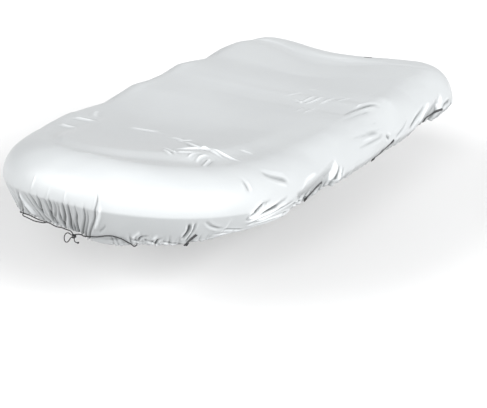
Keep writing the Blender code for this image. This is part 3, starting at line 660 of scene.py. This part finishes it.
def smooth_line(points, pieces=6):
    """A smooth curve through the points, as an array with several places between each two."""
    points = np.array(points, float)
    ends = np.concatenate((2 * points[:1] - points[1:2], points, 2 * points[-1:] - points[-2:-1]))
    t = np.linspace(0, 1, pieces, endpoint=False)[:, None]
    made = []
    for a, b, c, d in zip(ends, ends[1:], ends[2:], ends[3:]):
        bend = (2 * a - 5 * b + 4 * c - d) * t ** 2 + (3 * b - a - 3 * c + d) * t ** 3
        made.append((2 * b + (c - a) * t + bend) / 2)
    return np.concatenate((*made, points[-1:]))


def across_line(line, x, y):
    """How far places lie from a line, and how far along it their nearest points are, 0 to 1."""
    run = np.concatenate(([0], np.cumsum(np.hypot(*np.diff(line, axis=0).T))))
    best = np.full(x.shape, np.inf)
    share = np.zeros_like(x)
    for k, (a, b) in enumerate(zip(line, line[1:])):
        step = b - a
        t = np.clip(((x - a[0]) * step[0] + (y - a[1]) * step[1]) / max(1e-9, step @ step), 0, 1)
        away = np.hypot(x - a[0] - t * step[0], y - a[1] - t * step[1])
        nearer = away < best
        best = np.where(nearer, away, best)
        share = np.where(nearer, (run[k] + t * (run[k + 1] - run[k])) / run[-1], share)
    return best, share


def near(line, x, y, reach):
    """Which places lie within reach of a line's box."""
    low, high = line.min(0) - reach, line.max(0) + reach
    return (x > low[0]) & (x < high[0]) & (y > low[1]) & (y < high[1])


def lift(total, rows, x, y, shape, as_line, open_foot=True):
    """Adds a table's grooves or ridges to a field of heights."""
    for row in rows:
        line = smooth_line(as_line(row["line"]))
        wide = row["wide"]
        mask = near(line, x, y, FOLD_REACH * wide)
        away, share = across_line(line, x[mask], y[mask])
        top = row.get("top", TOP_SHARE)
        strength = (top + (1 - top) * ease(share * FOLD_GROWS)) * ease(share / FOLD_TIP)
        if not open_foot:
            strength = ease(share / CREASE_TIP) * ease((1 - share) / CREASE_TIP)
        elif row["line"][-1][1] > OPEN_LEVEL:
            strength = strength * ease((1 - share) / FOLD_FOOT)
        total[mask] += row["deep"] * strength * shape(away / wide)
    return total


def section(middle, power, rim, at, spread):
    """A fold's height by half widths from its line: its middle, and the rim that it pushes up beside it."""
    return lambda u: middle * np.exp(-(u ** power)) + rim * np.exp(-((u - at) / spread) ** 2)


GROOVE = section(-1, 1.35, 0.22, 2.6, 1.1)
TROUGH = section(-1, 2, 0.4, 2.1, 0.9)
ROUNDED = section(1, 2, 0, 1, 1)
CRINKLE = section(1, 2, -0.45, 2.0, 0.9)


def as_places(points):
    """A line's places as metres round the edge and up the cloth."""
    along, level = np.array(points, float).T
    return np.stack((along, upward(along, level)), -1)


def more_gathers():
    """The gathers of MORE_GATHERS, each a little off its even place, size and slant."""
    dice = random.Random(GATHER_SEED)
    rows = []
    for zone in MORE_GATHERS:
        pitch = (zone["end"] - zone["start"]) / zone["count"]
        for k in range(zone["count"]):
            at = zone["start"] + pitch * (k + dice.uniform(*GATHER_PLACE))
            slant = dice.uniform(*GATHER_SLANT)
            reach = zone["reach"] * dice.uniform(*GATHER_REACH) if zone["reach"] > 0 else zone["reach"]
            bend = at + slant * GATHER_LEAN + dice.uniform(*GATHER_BEND)
            rows.append({
                "line": ((at + slant, reach), (bend, min(GATHER_MIDDLE, reach - GATHER_BELOW)), (at, -1.0)),
                "deep": zone["deep"] * dice.uniform(*GATHER_DEEP),
                "wide": zone["wide"] * dice.uniform(*GATHER_WIDE),
                "top": GATHER_TOP,
            })
    return rows


def relief(along, level):
    """How far the folds stand off the even face, and how much shade is painted on the cloth: by the creases'
    depth and the facets' pull, and below zero a painted highlight on the ridges.
    """
    up = upward(along, level)
    pulled = facet(along, level)
    total = swell(along, level) - pulled
    drawn = np.zeros_like(total)
    lift(drawn, (*BOW_GATHERS, *more_gathers()), along, up, GROOVE, as_places)
    drawn += SIDE_FOLDS * lift(np.zeros_like(total), SIDE_TROUGHS, along, up, TROUGH, as_places)
    lift(drawn, (*BOW_RIDGES, *SIDE_RIDGES), along, up, ROUNDED, as_places)
    w, r = WAVE, RIPPLE
    waves = w["tall"] * np.sin(w["round"] * along + w["start"]) * np.sin(w["up"] * level + w["turn"] * along)
    ripples = np.sin(r["round"] * along + r["bend"] * np.sin(r["bends"] * along))
    waves += r["tall"] * ripples * np.cos(r["up"] * level)
    for _ in range(BLUR_ROUNDS):
        drawn[:, 1:-1] += (drawn[:, :-2] - 2 * drawn[:, 1:-1] + drawn[:, 2:]) / 4
    drawn = np.maximum(GATHER * drawn, -GATHER_LIMIT)
    # The second value is painted shade, and the facets take theirs from how far they are pulled in.
    return total + drawn + waves, FACET_PAINTED_SHADE * pulled - drawn / CREASE_FULL


# ---------------------------------------------------------------- the cloth's mesh


def half_stations():
    """Places round half the edge, and whether a row over the top starts at each."""
    places, starts = [0.0], [True]
    for zone in ZONES:
        begin, end = places[-1], min(zone["end"], EDGE)
        count = max(2, round((end - begin) / zone["step"] / zone["every"]) * zone["every"])
        for k in range(1, count + 1):
            places.append(begin + (end - begin) * k / count)
            starts.append(k % zone["every"] == 0)
    return np.array(places), starts


def ring_levels(along):
    """Each place's levels from the crown down to the hem, and how far the last lie inside it."""
    slope = skirt_length(along)
    casing_top = -1 + CASING[0] / slope
    levels = [np.full_like(along, level) for level in TUBE_LEVELS]
    levels += [casing_top * k / SKIRT_RINGS for k in range(SKIRT_RINGS)]
    levels += [-1 + up / slope for up in CASING]
    inside = [np.zeros_like(along)] * len(levels)
    for up, depth in TURNED_IN:
        levels.append(-1 + up / slope)
        inside.append(np.full_like(along, depth))
    return np.stack(levels, -1), np.stack(inside, -1), slope


def casing_relief(level, slope):
    """The hem's puff and its line of stitches."""
    up = (level + 1) * slope[:, None]
    puff = CASING_PUFF * np.sin(np.pi * np.clip(up / CASING_WIDE, 0, 1)) ** CASING_FULL
    groove_at = np.exp(-((up - CASING_WIDE) / STITCH_WIDE) ** 2)
    return np.where(level < 0, puff - STITCH_DEEP * groove_at, 0)


def top_rows(port, starboard):
    """Rows of points over the top panel between crown points, and the shade and highlight painted on its
    creases.
    """
    shares = np.concatenate((
        TOP_SPLIT * np.arange(TOP_FINE + 1) / TOP_FINE,
        TOP_SPLIT + (1 - TOP_SPLIT) * np.arange(1, TOP_COARSE + 1) / TOP_COARSE))
    share = shares[None, 1:-1, None]
    points = port[:, None] * (1 - share) + starboard[:, None] * share
    spread = (np.linalg.norm(port - starboard, axis=-1) / (BEAM - 2 * TUBE))[:, None] ** 2
    share = share[..., 0]
    ends = stern_dip(port[:, :1]) * (1 - share) + stern_dip(starboard[:, :1]) * share
    inward = ease(1 - np.abs(2 * share - 1))
    shift = stern_dip(points[..., 0]) - ends + STERN_PULL * spread * inward
    points[..., 1] -= shift * ease((points[..., 1] - STERN_START) / STERN_EASE)
    points[..., 2] -= TOP_SAG * np.minimum(1, spread) * inward
    x, y = points[..., 0], points[..., 1]
    height = TOP_CREASE * lift(np.zeros_like(x), TOP_CREASES, x, y, CRINKLE, np.array, False)
    points[..., 2] += height + shoulder(x, y) * ease(inward * SHOULDER_EDGE)
    # A painted highlight on the creases' ridges and painted shade in the troughs beside them.
    return points, -height / TOP_CREASE_FULL


def shoulder(x, y):
    """The rise of the top panel behind the bow's round."""
    line = smooth_line([(row["x"], row["y"]) for row in SHOULDER])
    behind = y - np.interp(x, line[:, 0], line[:, 1])
    front = ease(1 + behind / SHOULDER_FORE)
    back = ease(1 - np.maximum(0, behind) / SHOULDER_AFT)
    side = ease((SHOULDER_HALF - np.abs(x)) / SHOULDER_SIDE)
    return SHOULDER_RISE * np.where(behind < 0, front, back) * side


def meet_stern(rear, crown):
    """Brings the top's last rows to the height of the stern's crown, and keeps them inside it."""
    crown = crown[np.argsort(crown[:, 0])]
    edge_y = np.interp(rear[..., 0], crown[:, 0], crown[:, 1]) - CROWN_INSET
    edge_z = np.interp(rear[..., 0], crown[:, 0], crown[:, 2])
    rear[..., 1] = np.minimum(rear[..., 1], edge_y)
    rear[..., 2] += (edge_z - rear[..., 2]) * (1 - ease((edge_y - rear[..., 1]) / STERN_BLEND))
    return rear


def cap(faces, row, rim):
    """Triangles between the last row and the rim past it, whose ends they share."""
    rows, rims = len(row) - 1, len(rim) - 1
    i = k = 0
    while i < rows or k < rims:
        if k == rims or (i < rows and (i + 1) / rows <= (k + 1) / rims):
            face = (row[i], rim[k], row[i + 1])
            i += 1
        else:
            face = (row[i], rim[k], rim[k + 1])
            k += 1
        if len(set(face)) == 3:
            faces.append(face)


def top_faces(faces, full, crowns, port, starboard):
    """The faces between the top's rows, and those of its two ends."""
    last = full.shape[1] - 2
    for r, (a, b, c, d) in enumerate(zip(port, port[1:], starboard, starboard[1:])):
        row, after = full[r], full[r + 1]
        faces.append((row[0], *crowns[a + 1:b], after[0], after[1], row[1]))
        for k in range(1, last):
            faces.append((row[k], after[k], after[k + 1], row[k + 1]))
        faces.append((row[last], after[last], after[last + 1], *crowns[d + 1:c], row[last + 1]))
    cap(faces, full[0][::-1], np.concatenate((crowns[starboard[0]:], crowns[:port[0] + 1])))
    cap(faces, full[-1], crowns[port[-1]:starboard[-1] + 1])


def build_cloth():
    """The fine sheet's points and faces, its flat coordinates for the weave, and the shade and highlight
    painted on its creases, facets and ridges.
    """
    half, half_starts = half_stations()
    along = np.concatenate((half, -half[-2:0:-1]))
    count = len(along)
    levels, inside, slope = ring_levels(along)
    wide = np.broadcast_to(along[:, None], levels.shape)
    points, facing = even_face(wide, levels)
    stand, crease = relief(wide, levels)
    stand = stand + casing_relief(levels, slope) + inside
    turned = ease(-levels / STAND_TURN)[..., None]
    turning = facing[:, len(TUBE_LEVELS), None] * (1 - turned) + facing * turned
    facing = np.where(levels[..., None] < 0, turning, facing)
    facing = facing / np.linalg.norm(facing, axis=-1, keepdims=True)
    points = points + facing * stand[..., None]
    rings = levels.shape[1]
    index = np.arange(count * rings).reshape(count, rings)
    faces = []
    for i in range(count):
        j = (i + 1) % count
        for k in range(rings - 1):
            faces.append((index[i, k], index[i, k + 1], index[j, k + 1], index[j, k]))
    port = [i for i, start in enumerate(half_starts) if start][1:-1]
    starboard = [count - i for i in port]
    top, top_painted_light = top_rows(points[port, 0], points[starboard, 0])
    after = half[port] > STERN_CROWN
    top[after] = meet_stern(top[after], points[np.abs(along) > STERN_CROWN, 0])
    inner = count * rings + np.arange(top.size // 3).reshape(top.shape[:2])
    crowns = index[:, 0]
    full = np.concatenate((crowns[port][:, None], inner, crowns[starboard][:, None]), 1)
    top_faces(faces, full, crowns, port, starboard)
    body = np.concatenate((points.reshape(-1, 3), top.reshape(-1, 3)))
    flat = np.stack((wide, upward(wide, levels)), -1)
    flat = np.concatenate((flat.reshape(-1, 2), top[..., :2].reshape(-1, 2)))
    return body, faces, flat, np.concatenate((crease.ravel(), top_painted_light.ravel()))


def search_tree(mesh):
    """A search tree of a mesh's faces."""
    return BVHTree.FromPolygons([v.co for v in mesh.vertices], [tuple(p.vertices) for p in mesh.polygons])


def press(points):
    """Lays the sheet on its solid's outer face near the webbing, the fittings and the tie."""
    guides = []
    for name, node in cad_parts.items():
        if name.startswith(("strap", "buckle", "stern_tab")) or name in ("bow_knot", "tail_knot"):
            guides += [v.co for v in node.data.vertices]
    tree = search_tree(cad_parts["cover_cloth"].data)
    lookup = KDTree(len(guides))
    for i, guide in enumerate(guides):
        lookup.insert(guide, i)
    lookup.balance()
    for point in points:
        distance = lookup.find(point)[2]
        if distance < PRESS_FAR:
            location = tree.find_nearest(point)[0]
            share = float(1 - ease((distance - PRESS_NEAR) / (PRESS_FAR - PRESS_NEAR)))
            point += (np.array(location) - point) * share
    return points


def mesh_object(name, points, faces, coordinates=None):
    """A smooth object of points and faces, with its flat coordinates if it has them."""
    mesh = bpy.data.meshes.new(name)
    mesh.from_pydata([tuple(p) for p in points], [], [tuple(int(i) for i in f) for f in faces])
    if coordinates is not None:
        layer = mesh.uv_layers.new(name="flat")
        corners = np.empty(len(mesh.loops), np.int32)
        mesh.loops.foreach_get("vertex_index", corners)
        layer.data.foreach_set("uv", np.asarray(coordinates, np.float32)[corners].ravel())
    mesh.validate()
    shape = bmesh.new()
    shape.from_mesh(mesh)
    bmesh.ops.recalc_face_normals(shape, faces=shape.faces)
    shape.to_mesh(mesh)
    shape.free()
    mesh.shade_smooth()
    made = bpy.data.objects.new(name, mesh)
    bpy.context.scene.collection.objects.link(made)
    return made


# ---------------------------------------------------------------- cords


def place(along, level):
    """A place on the even face, and the direction that it faces there."""
    point, facing = even_face(np.array([float(along)]), np.array([float(level)]))
    return Vector(point[0]), Vector(facing[0])


def ridge(tree, along, level):
    """The height of the highest fold close to a place, over the even face."""
    heights = [0.0]
    for k in range(-RIDGE_STEPS, RIDGE_STEPS + 1):
        point, facing = place(along + RIDGE_SPREAD * k / RIDGE_STEPS, max(level, HEM_LEVEL))
        distance = tree.ray_cast(point + facing * RIDGE_LOOK, -facing)[3]
        if distance is not None:
            heights.append(RIDGE_LOOK - distance)
    return max(heights)


def curve_through(points, step):
    """Points about a step apart on a smooth curve through the given ones."""
    fine = smooth_line(points, CURVE_PIECES)
    run = np.concatenate(([0], np.cumsum(np.linalg.norm(np.diff(fine, axis=0), axis=1))))
    count = max(2, round(run[-1] / step))
    at = np.linspace(0, run[-1], count + 1)
    return [Vector([float(np.interp(a, run, fine[:, k])) for k in range(3)]) for a in at]


def clear_of_cloth(points, tree):
    """A cord's points, with its hidden ends on the cloth's inside and the rest just off it."""
    for i in (0, -1):
        location, normal = tree.find_nearest(points[i])[:2]
        if (points[i] - location).dot(normal) < 0:
            points[i] = location - normal * (CLOTH + CORD / 2)
    for _ in range(SETTLE_ROUNDS):
        for a, b in zip(points, points[1:]):
            for share in SETTLE_SHARES:
                spot = a.lerp(b, share)
                location, _, _, distance = tree.find_nearest(spot)
                if 0 < distance < CORD_REST:
                    away = (spot - location) * ((CORD_REST - distance) / distance)
                    a += away
                    b += away
    return points


def route_on_cloth(tree, rows):
    """Points along the smooth route of a table, each at its height over the folds."""
    corners = [(row["along"], row["level"] * SKIRT_DEPTH, row["height"]) for row in rows]
    places = curve_through(corners, CORD_STEP)
    ridges = [ridge(tree, p.x, p.y / SKIRT_DEPTH) for p in places]
    points = []
    for i, p in enumerate(places):
        close = ridges[max(0, i - 1):i + 2]
        point, facing = place(p.x, p.y / SKIRT_DEPTH)
        points.append(point + facing * (sum(close) / len(close) + p.z))
    return points


def tube(name, points, radius, sides=CORD_SIDES, braid=BRAID, step=BRAID_STEP):
    """A braided cord as a mesh tube along a path, with crossing strands in relief."""
    path = curve_through(points, step)
    normal = FIRST_NORMAL.normalized()
    rows, faces, flat = [], [], []
    run = 0.0
    for i, point in enumerate(path):
        ahead = (path[min(i + 1, len(path) - 1)] - path[max(i - 1, 0)]).normalized()
        normal = (normal - ahead * normal.dot(ahead)).normalized()
        side = ahead.cross(normal)
        if i:
            run += (point - path[i - 1]).length
        tip = min(1.0, TIP_START + min(i, len(path) - 1 - i) * TIP_GROWS)
        for k in range(sides):
            turn = 2 * math.pi * k / sides
            twist = run / (radius * STRAND_TURN)
            strands = max(math.sin(STRANDS * turn + twist), math.sin(STRANDS * turn - twist + STRAND_OFF))
            r = radius * tip * (1 - braid + braid * strands)
            rows.append(point + (normal * math.cos(turn) + side * math.sin(turn)) * r)
            flat.append((k / sides, run / (2 * math.pi * radius)))
    count = len(path)
    for i in range(count - 1):
        for k in range(sides):
            a, b = i * sides + k, i * sides + (k + 1) % sides
            faces.append((a, b, b + sides, a + sides))
    faces.append(tuple(range(sides))[::-1])
    faces.append(tuple((count - 1) * sides + k for k in range(sides)))
    return mesh_object(name, rows, faces, flat)


def knot(name, middle, half, radius):
    """A pulled knot: a tube along a trefoil that fills the given half sizes."""
    path = []
    for k in range(KNOT_PLACES + 1):
        t = 2 * math.pi * k / KNOT_PLACES
        x = (math.sin(t) + 2 * math.sin(2 * t)) / 3
        z = (math.cos(t) - 2 * math.cos(2 * t)) / 3
        y = -math.sin(3 * t)
        path.append(middle + Vector((x * (half.x - radius), y * (half.y - radius), z * (half.z - radius))))
    return tube(name, path, radius, KNOT_SIDES, KNOT_BRAID, KNOT_STEP)


# ---------------------------------------------------------------- fittings


def prism(shape, plan, low, high):
    """A flat block on a plan of four corners."""
    lower = [shape.verts.new((x, y, low)) for x, y in plan]
    upper = [shape.verts.new((x, y, high)) for x, y in plan]
    shape.faces.new(lower[::-1])
    shape.faces.new(upper)
    for i in range(4):
        j = (i + 1) % 4
        shape.faces.new((lower[i], lower[j], upper[j], upper[i]))


def fitting_frame(name, strap, tree):
    """The place and directions of a fitting: across its strap, along it and away from the cloth."""
    body = np.array([v.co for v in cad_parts[name].data.vertices])
    centre = body.mean(0)
    axes = np.linalg.svd(body - centre)[2]
    up = Vector(axes[2])
    centre = Vector(centre)
    if up.dot(tree.find_nearest(centre)[1]) < 0:
        up = -up
    web = sorted((v.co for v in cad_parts[strap].data.vertices), key=lambda co: (co - centre).length)
    ahead = centre - sum(web[:WEB_NEAREST], Vector()) / WEB_NEAREST
    ahead = (ahead - up * ahead.dot(up)).normalized()
    reach = (body - np.array(centre)) @ np.array(ahead)
    middle = centre + ahead * float((reach.max() + reach.min()) / 2)
    return Matrix((ahead.cross(up), ahead, up)).transposed().to_4x4(), middle


def moulded_frame():
    """A frame of two rails that widens towards its free end, with the bars across it."""
    shape = bmesh.new()
    long, thick = BUCKLE_LONG / 2, BUCKLE_THICK / 2
    narrow, broad = BUCKLE_WIDE * BUCKLE_TAPER / 2, BUCKLE_WIDE / 2
    for side in (-1, 1):
        rail = ((narrow - BUCKLE_RAIL, -long), (narrow, -long), (broad, long), (broad - BUCKLE_RAIL, long))
        prism(shape, [(x * side, y) for x, y in rail], -thick, thick)
    for bar in BUCKLE_BARS:
        half = narrow + (broad - narrow) * (bar["at"] + long) / (2 * long) - BUCKLE_RAIL / 2
        low, high, thick = bar["at"] - bar["long"] / 2, bar["at"] + bar["long"] / 2, bar["thick"] / 2
        prism(shape, [(-half, low), (half, low), (half, high), (-half, high)], -thick, thick)
    bmesh.ops.recalc_face_normals(shape, faces=shape.faces)
    bmesh.ops.bevel(shape, geom=shape.edges[:], offset=BUCKLE_BEVEL, segments=2, affect="EDGES")
    return shape


def folded_web():
    """The webbing's end, folded over the frame's first bar."""
    shape = bmesh.new()
    wide, thick = WEB_WIDTH * WEB_END_SHARE / 2, WEB_THICK / 2
    line = smooth_line([(y - BUCKLE_LONG / 2, z) for y, z in WEB_FOLD], WEB_PIECES).tolist()
    for (y, z), (v, w) in zip(line, line[1:]):
        run = math.hypot(v - y, w - z)
        off_y, off_z = -(w - z) / run * thick, (v - y) / run * thick
        corners = [(y - off_y, z - off_z), (v - off_y, w - off_z),
                   (v + off_y, w + off_z), (y + off_y, z + off_z)]
        left = [shape.verts.new((-wide, a, b)) for a, b in corners]
        right = [shape.verts.new((wide, a, b)) for a, b in corners]
        for k in range(4):
            shape.faces.new((left[k], left[(k + 1) % 4], right[(k + 1) % 4], right[k]))
        shape.faces.new(left[::-1])
        shape.faces.new(right)
    bmesh.ops.remove_doubles(shape, verts=shape.verts, dist=WEB_MERGE)
    bmesh.ops.recalc_face_normals(shape, faces=shape.faces)
    return shape


def make_buckle(name, strap, tree, plastic, webbing):
    """A moulded frame with its bars, and the webbing's end folded over the first of them."""
    turn, middle = fitting_frame(name, strap, tree)
    place_at = Matrix.Translation(middle) @ turn
    dress(finished(moulded_frame(), "moulded_" + name, place_at), plastic, "black_plastic", name)
    dress(finished(folded_web(), "folded_end_of_" + strap, place_at), webbing, "black_webbing")


def finished(shape, name, place_at):
    """An object of the shape, moved to its place."""
    shape.transform(place_at)
    mesh = bpy.data.meshes.new(name)
    shape.to_mesh(mesh)
    shape.free()
    made = bpy.data.objects.new(name, mesh)
    bpy.context.scene.collection.objects.link(made)
    return made


# ---------------------------------------------------------------- materials


def shader_material(name, colour, roughness, **sockets):
    """A material with its constant values on the shader's own sockets."""
    made = bpy.data.materials.new(name)
    made.use_nodes = True
    shader = made.node_tree.nodes["Principled BSDF"]
    shader.inputs["Base Color"].default_value = (*colour, 1)
    shader.inputs["Roughness"].default_value = roughness
    for socket, value in sockets.items():
        shader.inputs[socket.replace("_", " ")].default_value = value
    return made, made.node_tree


def join(made, **outputs):
    """Joins outputs to the shader's sockets of those names."""
    tree = made.node_tree
    for socket, output in outputs.items():
        tree.links.new(output, tree.nodes["Principled BSDF"].inputs[socket.replace("_", " ")])
    return made


def add_node(tree, kind, inputs=None, **settings):
    """A node with its settings, whose inputs are values or other nodes' outputs."""
    node = tree.nodes.new(kind)
    for key, value in settings.items():
        setattr(node, key, value)
    for key, value in (inputs or {}).items():
        if isinstance(value, bpy.types.NodeSocket):
            tree.links.new(value, node.inputs[key])
        else:
            node.inputs[key].default_value = value
    return node


def space(tree, kind="Object"):
    """The coordinates that a texture lies in."""
    return add_node(tree, "ShaderNodeTexCoord").outputs[kind]


def noise(tree, scale, detail):
    inputs = {"Vector": space(tree), "Scale": scale, "Detail": detail}
    return add_node(tree, "ShaderNodeTexNoise", inputs).outputs["Fac"]


def mixed(tree, factor, first, second):
    """A colour between two others."""
    inputs = {"Factor": factor, "A": first, "B": second}
    return add_node(tree, "ShaderNodeMix", inputs, data_type="RGBA").outputs["Result"]


def ranged(tree, value, **ends):
    """A value brought from one range into another, 0 to 1 where an end isn't given."""
    inputs = {"Value": value, **{key.replace("_", " "): end for key, end in ends.items()}}
    return add_node(tree, "ShaderNodeMapRange", inputs).outputs["Result"]


def bumped(tree, height, strength, distance, **under):
    """The surface's direction with a fine relief on it, and on another relief if one is given."""
    inputs = {"Height": height, "Strength": strength, "Distance": distance, **under}
    return add_node(tree, "ShaderNodeBump", inputs).outputs["Normal"]


def cloth_material():
    """Woven polyester under a pale silver coating, with a soft sheen and fine crinkles, painted shade in its
    creases and on the facets, and a painted highlight on its ridges.
    """
    made, tree = shader_material("coated_cloth", COAT, roughness=0.40, Metallic=0.0, Sheen_Weight=0.10)
    broad = noise(tree, scale=2.4, detail=3.0)
    # Painted shade: the crease attribute darkens the coat towards COAT_SHADED in the creases and on the facets.
    crease = add_node(tree, "ShaderNodeAttribute", attribute_name="crease").outputs["Fac"]
    low = ranged(tree, crease, From_Min=0.12, To_Max=0.90)
    # Painted highlight: below zero the crease attribute lightens the coat on the ridges.
    high = ranged(tree, crease, From_Min=-0.10, From_Max=-0.70, To_Max=0.85)
    shaded = mixed(tree, low, mixed(tree, broad, *COAT_TINTS), COAT_SHADED)
    weave = []
    for direction in ("X", "Y"):
        inputs = {"Vector": space(tree, "UV"), "Scale": 420.0, "Distortion": 0.3}
        band = add_node(tree, "ShaderNodeTexWave", inputs, bands_direction=direction)
        weave.append(band.outputs["Fac"])
    cross = add_node(tree, "ShaderNodeMath", dict(enumerate(weave)), operation="MULTIPLY").outputs["Value"]
    woven = bumped(tree, cross, strength=0.25, distance=0.0002)
    crinkled = bumped(tree, noise(tree, scale=55.0, detail=4.0), strength=0.35, distance=0.0016, Normal=woven)
    return join(made, Base_Color=mixed(tree, high, shaded, COAT_PAINTED_HIGHLIGHT), Normal=crinkled,
                Roughness=ranged(tree, broad, To_Min=0.36, To_Max=0.46))


def cord_material():
    """Black braided polyester, a little fuzzy."""
    made, tree = shader_material("braided_cord", CORD_BLACK, roughness=0.78, Sheen_Weight=0.05)
    fuzz = noise(tree, scale=900.0, detail=3.0)
    return join(made, Base_Color=mixed(tree, fuzz, *CORD_TINTS),
                Normal=bumped(tree, fuzz, strength=0.5, distance=0.0003))


def webbing_material():
    """Black woven webbing with a fine, close grain."""
    made, tree = shader_material("woven_webbing", WEB_BLACK, roughness=0.66, Sheen_Weight=0.2)
    inputs = {"Vector": space(tree), "Scale": 1100.0}
    weave = add_node(tree, "ShaderNodeTexVoronoi", inputs).outputs["Distance"]
    return join(made, Base_Color=mixed(tree, weave, *WEB_TINTS),
                Normal=bumped(tree, weave, strength=0.6, distance=0.0004))


def plastic_material():
    """Black moulded plastic with a fine matt grain."""
    made, tree = shader_material("moulded_plastic", PLASTIC_BLACK, roughness=0.42)
    grain = noise(tree, scale=700.0, detail=2.0)
    return join(made, Roughness=ranged(tree, grain, To_Min=0.34, To_Max=0.52),
                Normal=bumped(tree, grain, strength=0.3, distance=0.0002))


# ---------------------------------------------------------------- the pieces


def dress(piece, material, slot, *nodes):
    """Gives a piece its material and body, and hides the nodes that it takes the place of; its slot is not
    used.
    """
    piece.data.materials.clear()
    piece.data.materials.append(material)
    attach(piece, "root")
    if nodes:
        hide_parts(*nodes)
    return piece


def make_cloth():
    points, faces, flat, crease = build_cloth()
    points = press(points)
    cloth = mesh_object("cover", points, faces, flat)
    # The shade and highlight painted on the cloth, read by its material.
    layer = cloth.data.attributes.new("crease", "FLOAT", "POINT")
    layer.data.foreach_set("value", crease.astype(np.float32))
    dress(cloth, cloth_material(), "silver_cloth", "cover_cloth")
    return cloth


def at_knot(steps):
    """Places given from the tie's knot."""
    return [KNOT + step for step in steps]


def lay_cord(name, path, diameter, material, node):
    return dress(tube(name, path, diameter / 2), material, "black_cord", node)


def make_cords(cloth):
    """The draw cord's two ends, its slack length beside them, and the tie with its knots."""
    tree = search_tree(cloth.data)
    braided = cord_material()
    starboard = route_on_cloth(tree, DRAW_STARBOARD) + at_knot(KNOT_LEFT[::-1])
    starboard = clear_of_cloth(curve_through(starboard, CORD_STEP), tree)[:-1] + at_knot(INTO_LEFT)
    port = at_knot(KNOT_RIGHT) + route_on_cloth(tree, DRAW_PORT)
    port = at_knot(INTO_RIGHT) + clear_of_cloth(curve_through(port, CORD_STEP), tree)[1:]
    slack = clear_of_cloth(route_on_cloth(tree, SLACK), tree)
    lay_cord("draw_cord_to_port", port, CORD, braided, "draw_cord_port")
    lay_cord("draw_cord_to_starboard", starboard, CORD, braided, "draw_cord_starboard")
    hem_cord = lay_cord("slack_hem_cord", slack, CORD, braided, "bow_hem_cord")
    loop = curve_through(at_knot(LOOP), TIE_STEP)
    ring = lay_cord("tie_loop", loop, TIE_CORD, braided, "bow_cord_loop")
    tail = curve_through(at_knot(TAIL), TIE_STEP)
    end = lay_cord("tie_tail", tail, TIE_CORD, braided, "bow_cord_tail")
    dress(knot("tie_knot", KNOT, KNOT_HALF, KNOT_RADIUS), braided, "black_cord", "bow_knot")
    stop = KNOT + TAIL[-1] + (TAIL[-1] - TAIL[-2]).normalized() * END_KNOT_OFF
    stopper = knot("end_knot", stop, END_KNOT_HALF, END_KNOT_RADIUS)
    dress(stopper, braided, "black_cord", "tail_knot")


def make_fittings():
    """The webbing's solids get their material, and each buckle a moulded frame."""
    webbing, plastic = webbing_material(), plastic_material()
    tree = search_tree(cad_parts["cover_cloth"].data)
    for name, node in list(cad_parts.items()):
        if name.startswith(("strap", "stern_tab")):
            node.data.materials.clear()
            node.data.materials.append(webbing)
        if name.startswith("buckle"):
            make_buckle(name, name.replace("buckle", "strap"), tree, plastic, webbing)


def make_stage():
    corners = [(x * FLOOR_HALF, y * FLOOR_HALF, FLOOR) for x, y in ((-1, -1), (1, -1), (1, 1), (-1, 1))]
    floor = mesh_object("floor", corners, [(0, 1, 2, 3)])
    pale = shader_material("pale_floor", FLOOR_GREY, roughness=0.9)[0]
    floor.data.materials.append(pale)
    floor.visible_diffuse = False


def make_light():
    world = bpy.data.worlds.new("studio")
    world.use_nodes = True
    background = world.node_tree.nodes["Background"].inputs
    background["Color"].default_value = SKY_COLOUR
    background["Strength"].default_value = SKY
    bpy.context.scene.world = world
    for row in LIGHTS:
        key = bpy.data.lights.new(row["name"], "SUN")
        key.energy = row["power"]
        key.angle = math.radians(row["wide"])
        lamp = bpy.data.objects.new(row["name"], key)
        azimuth, elevation = math.radians(row["azimuth"]), math.radians(row["elevation"])
        level = math.cos(elevation)
        toward = Vector((math.sin(azimuth) * level, -math.cos(azimuth) * level, math.sin(elevation)))
        lamp.rotation_euler = toward.to_track_quat("Z", "Y").to_euler()
        lamp.visible_glossy = row["name"] != "stern"
        bpy.context.scene.collection.objects.link(lamp)


def make_camera():
    lens = bpy.data.cameras.new("camera")
    lens.lens = LENS
    lens.sensor_fit = "HORIZONTAL"
    lens.sensor_width = SENSOR
    eye = bpy.data.objects.new("camera", lens)
    eye.location = CAMERA
    eye.rotation_euler = (math.radians(90 - ELEVATION), 0, math.radians(AZIMUTH))
    bpy.context.scene.collection.objects.link(eye)
    bpy.context.scene.camera = eye
    bpy.context.scene.view_settings.view_transform = "Standard"


make_camera()
make_light()
make_stage()
cloth = make_cloth()
make_cords(cloth)
make_fittings()
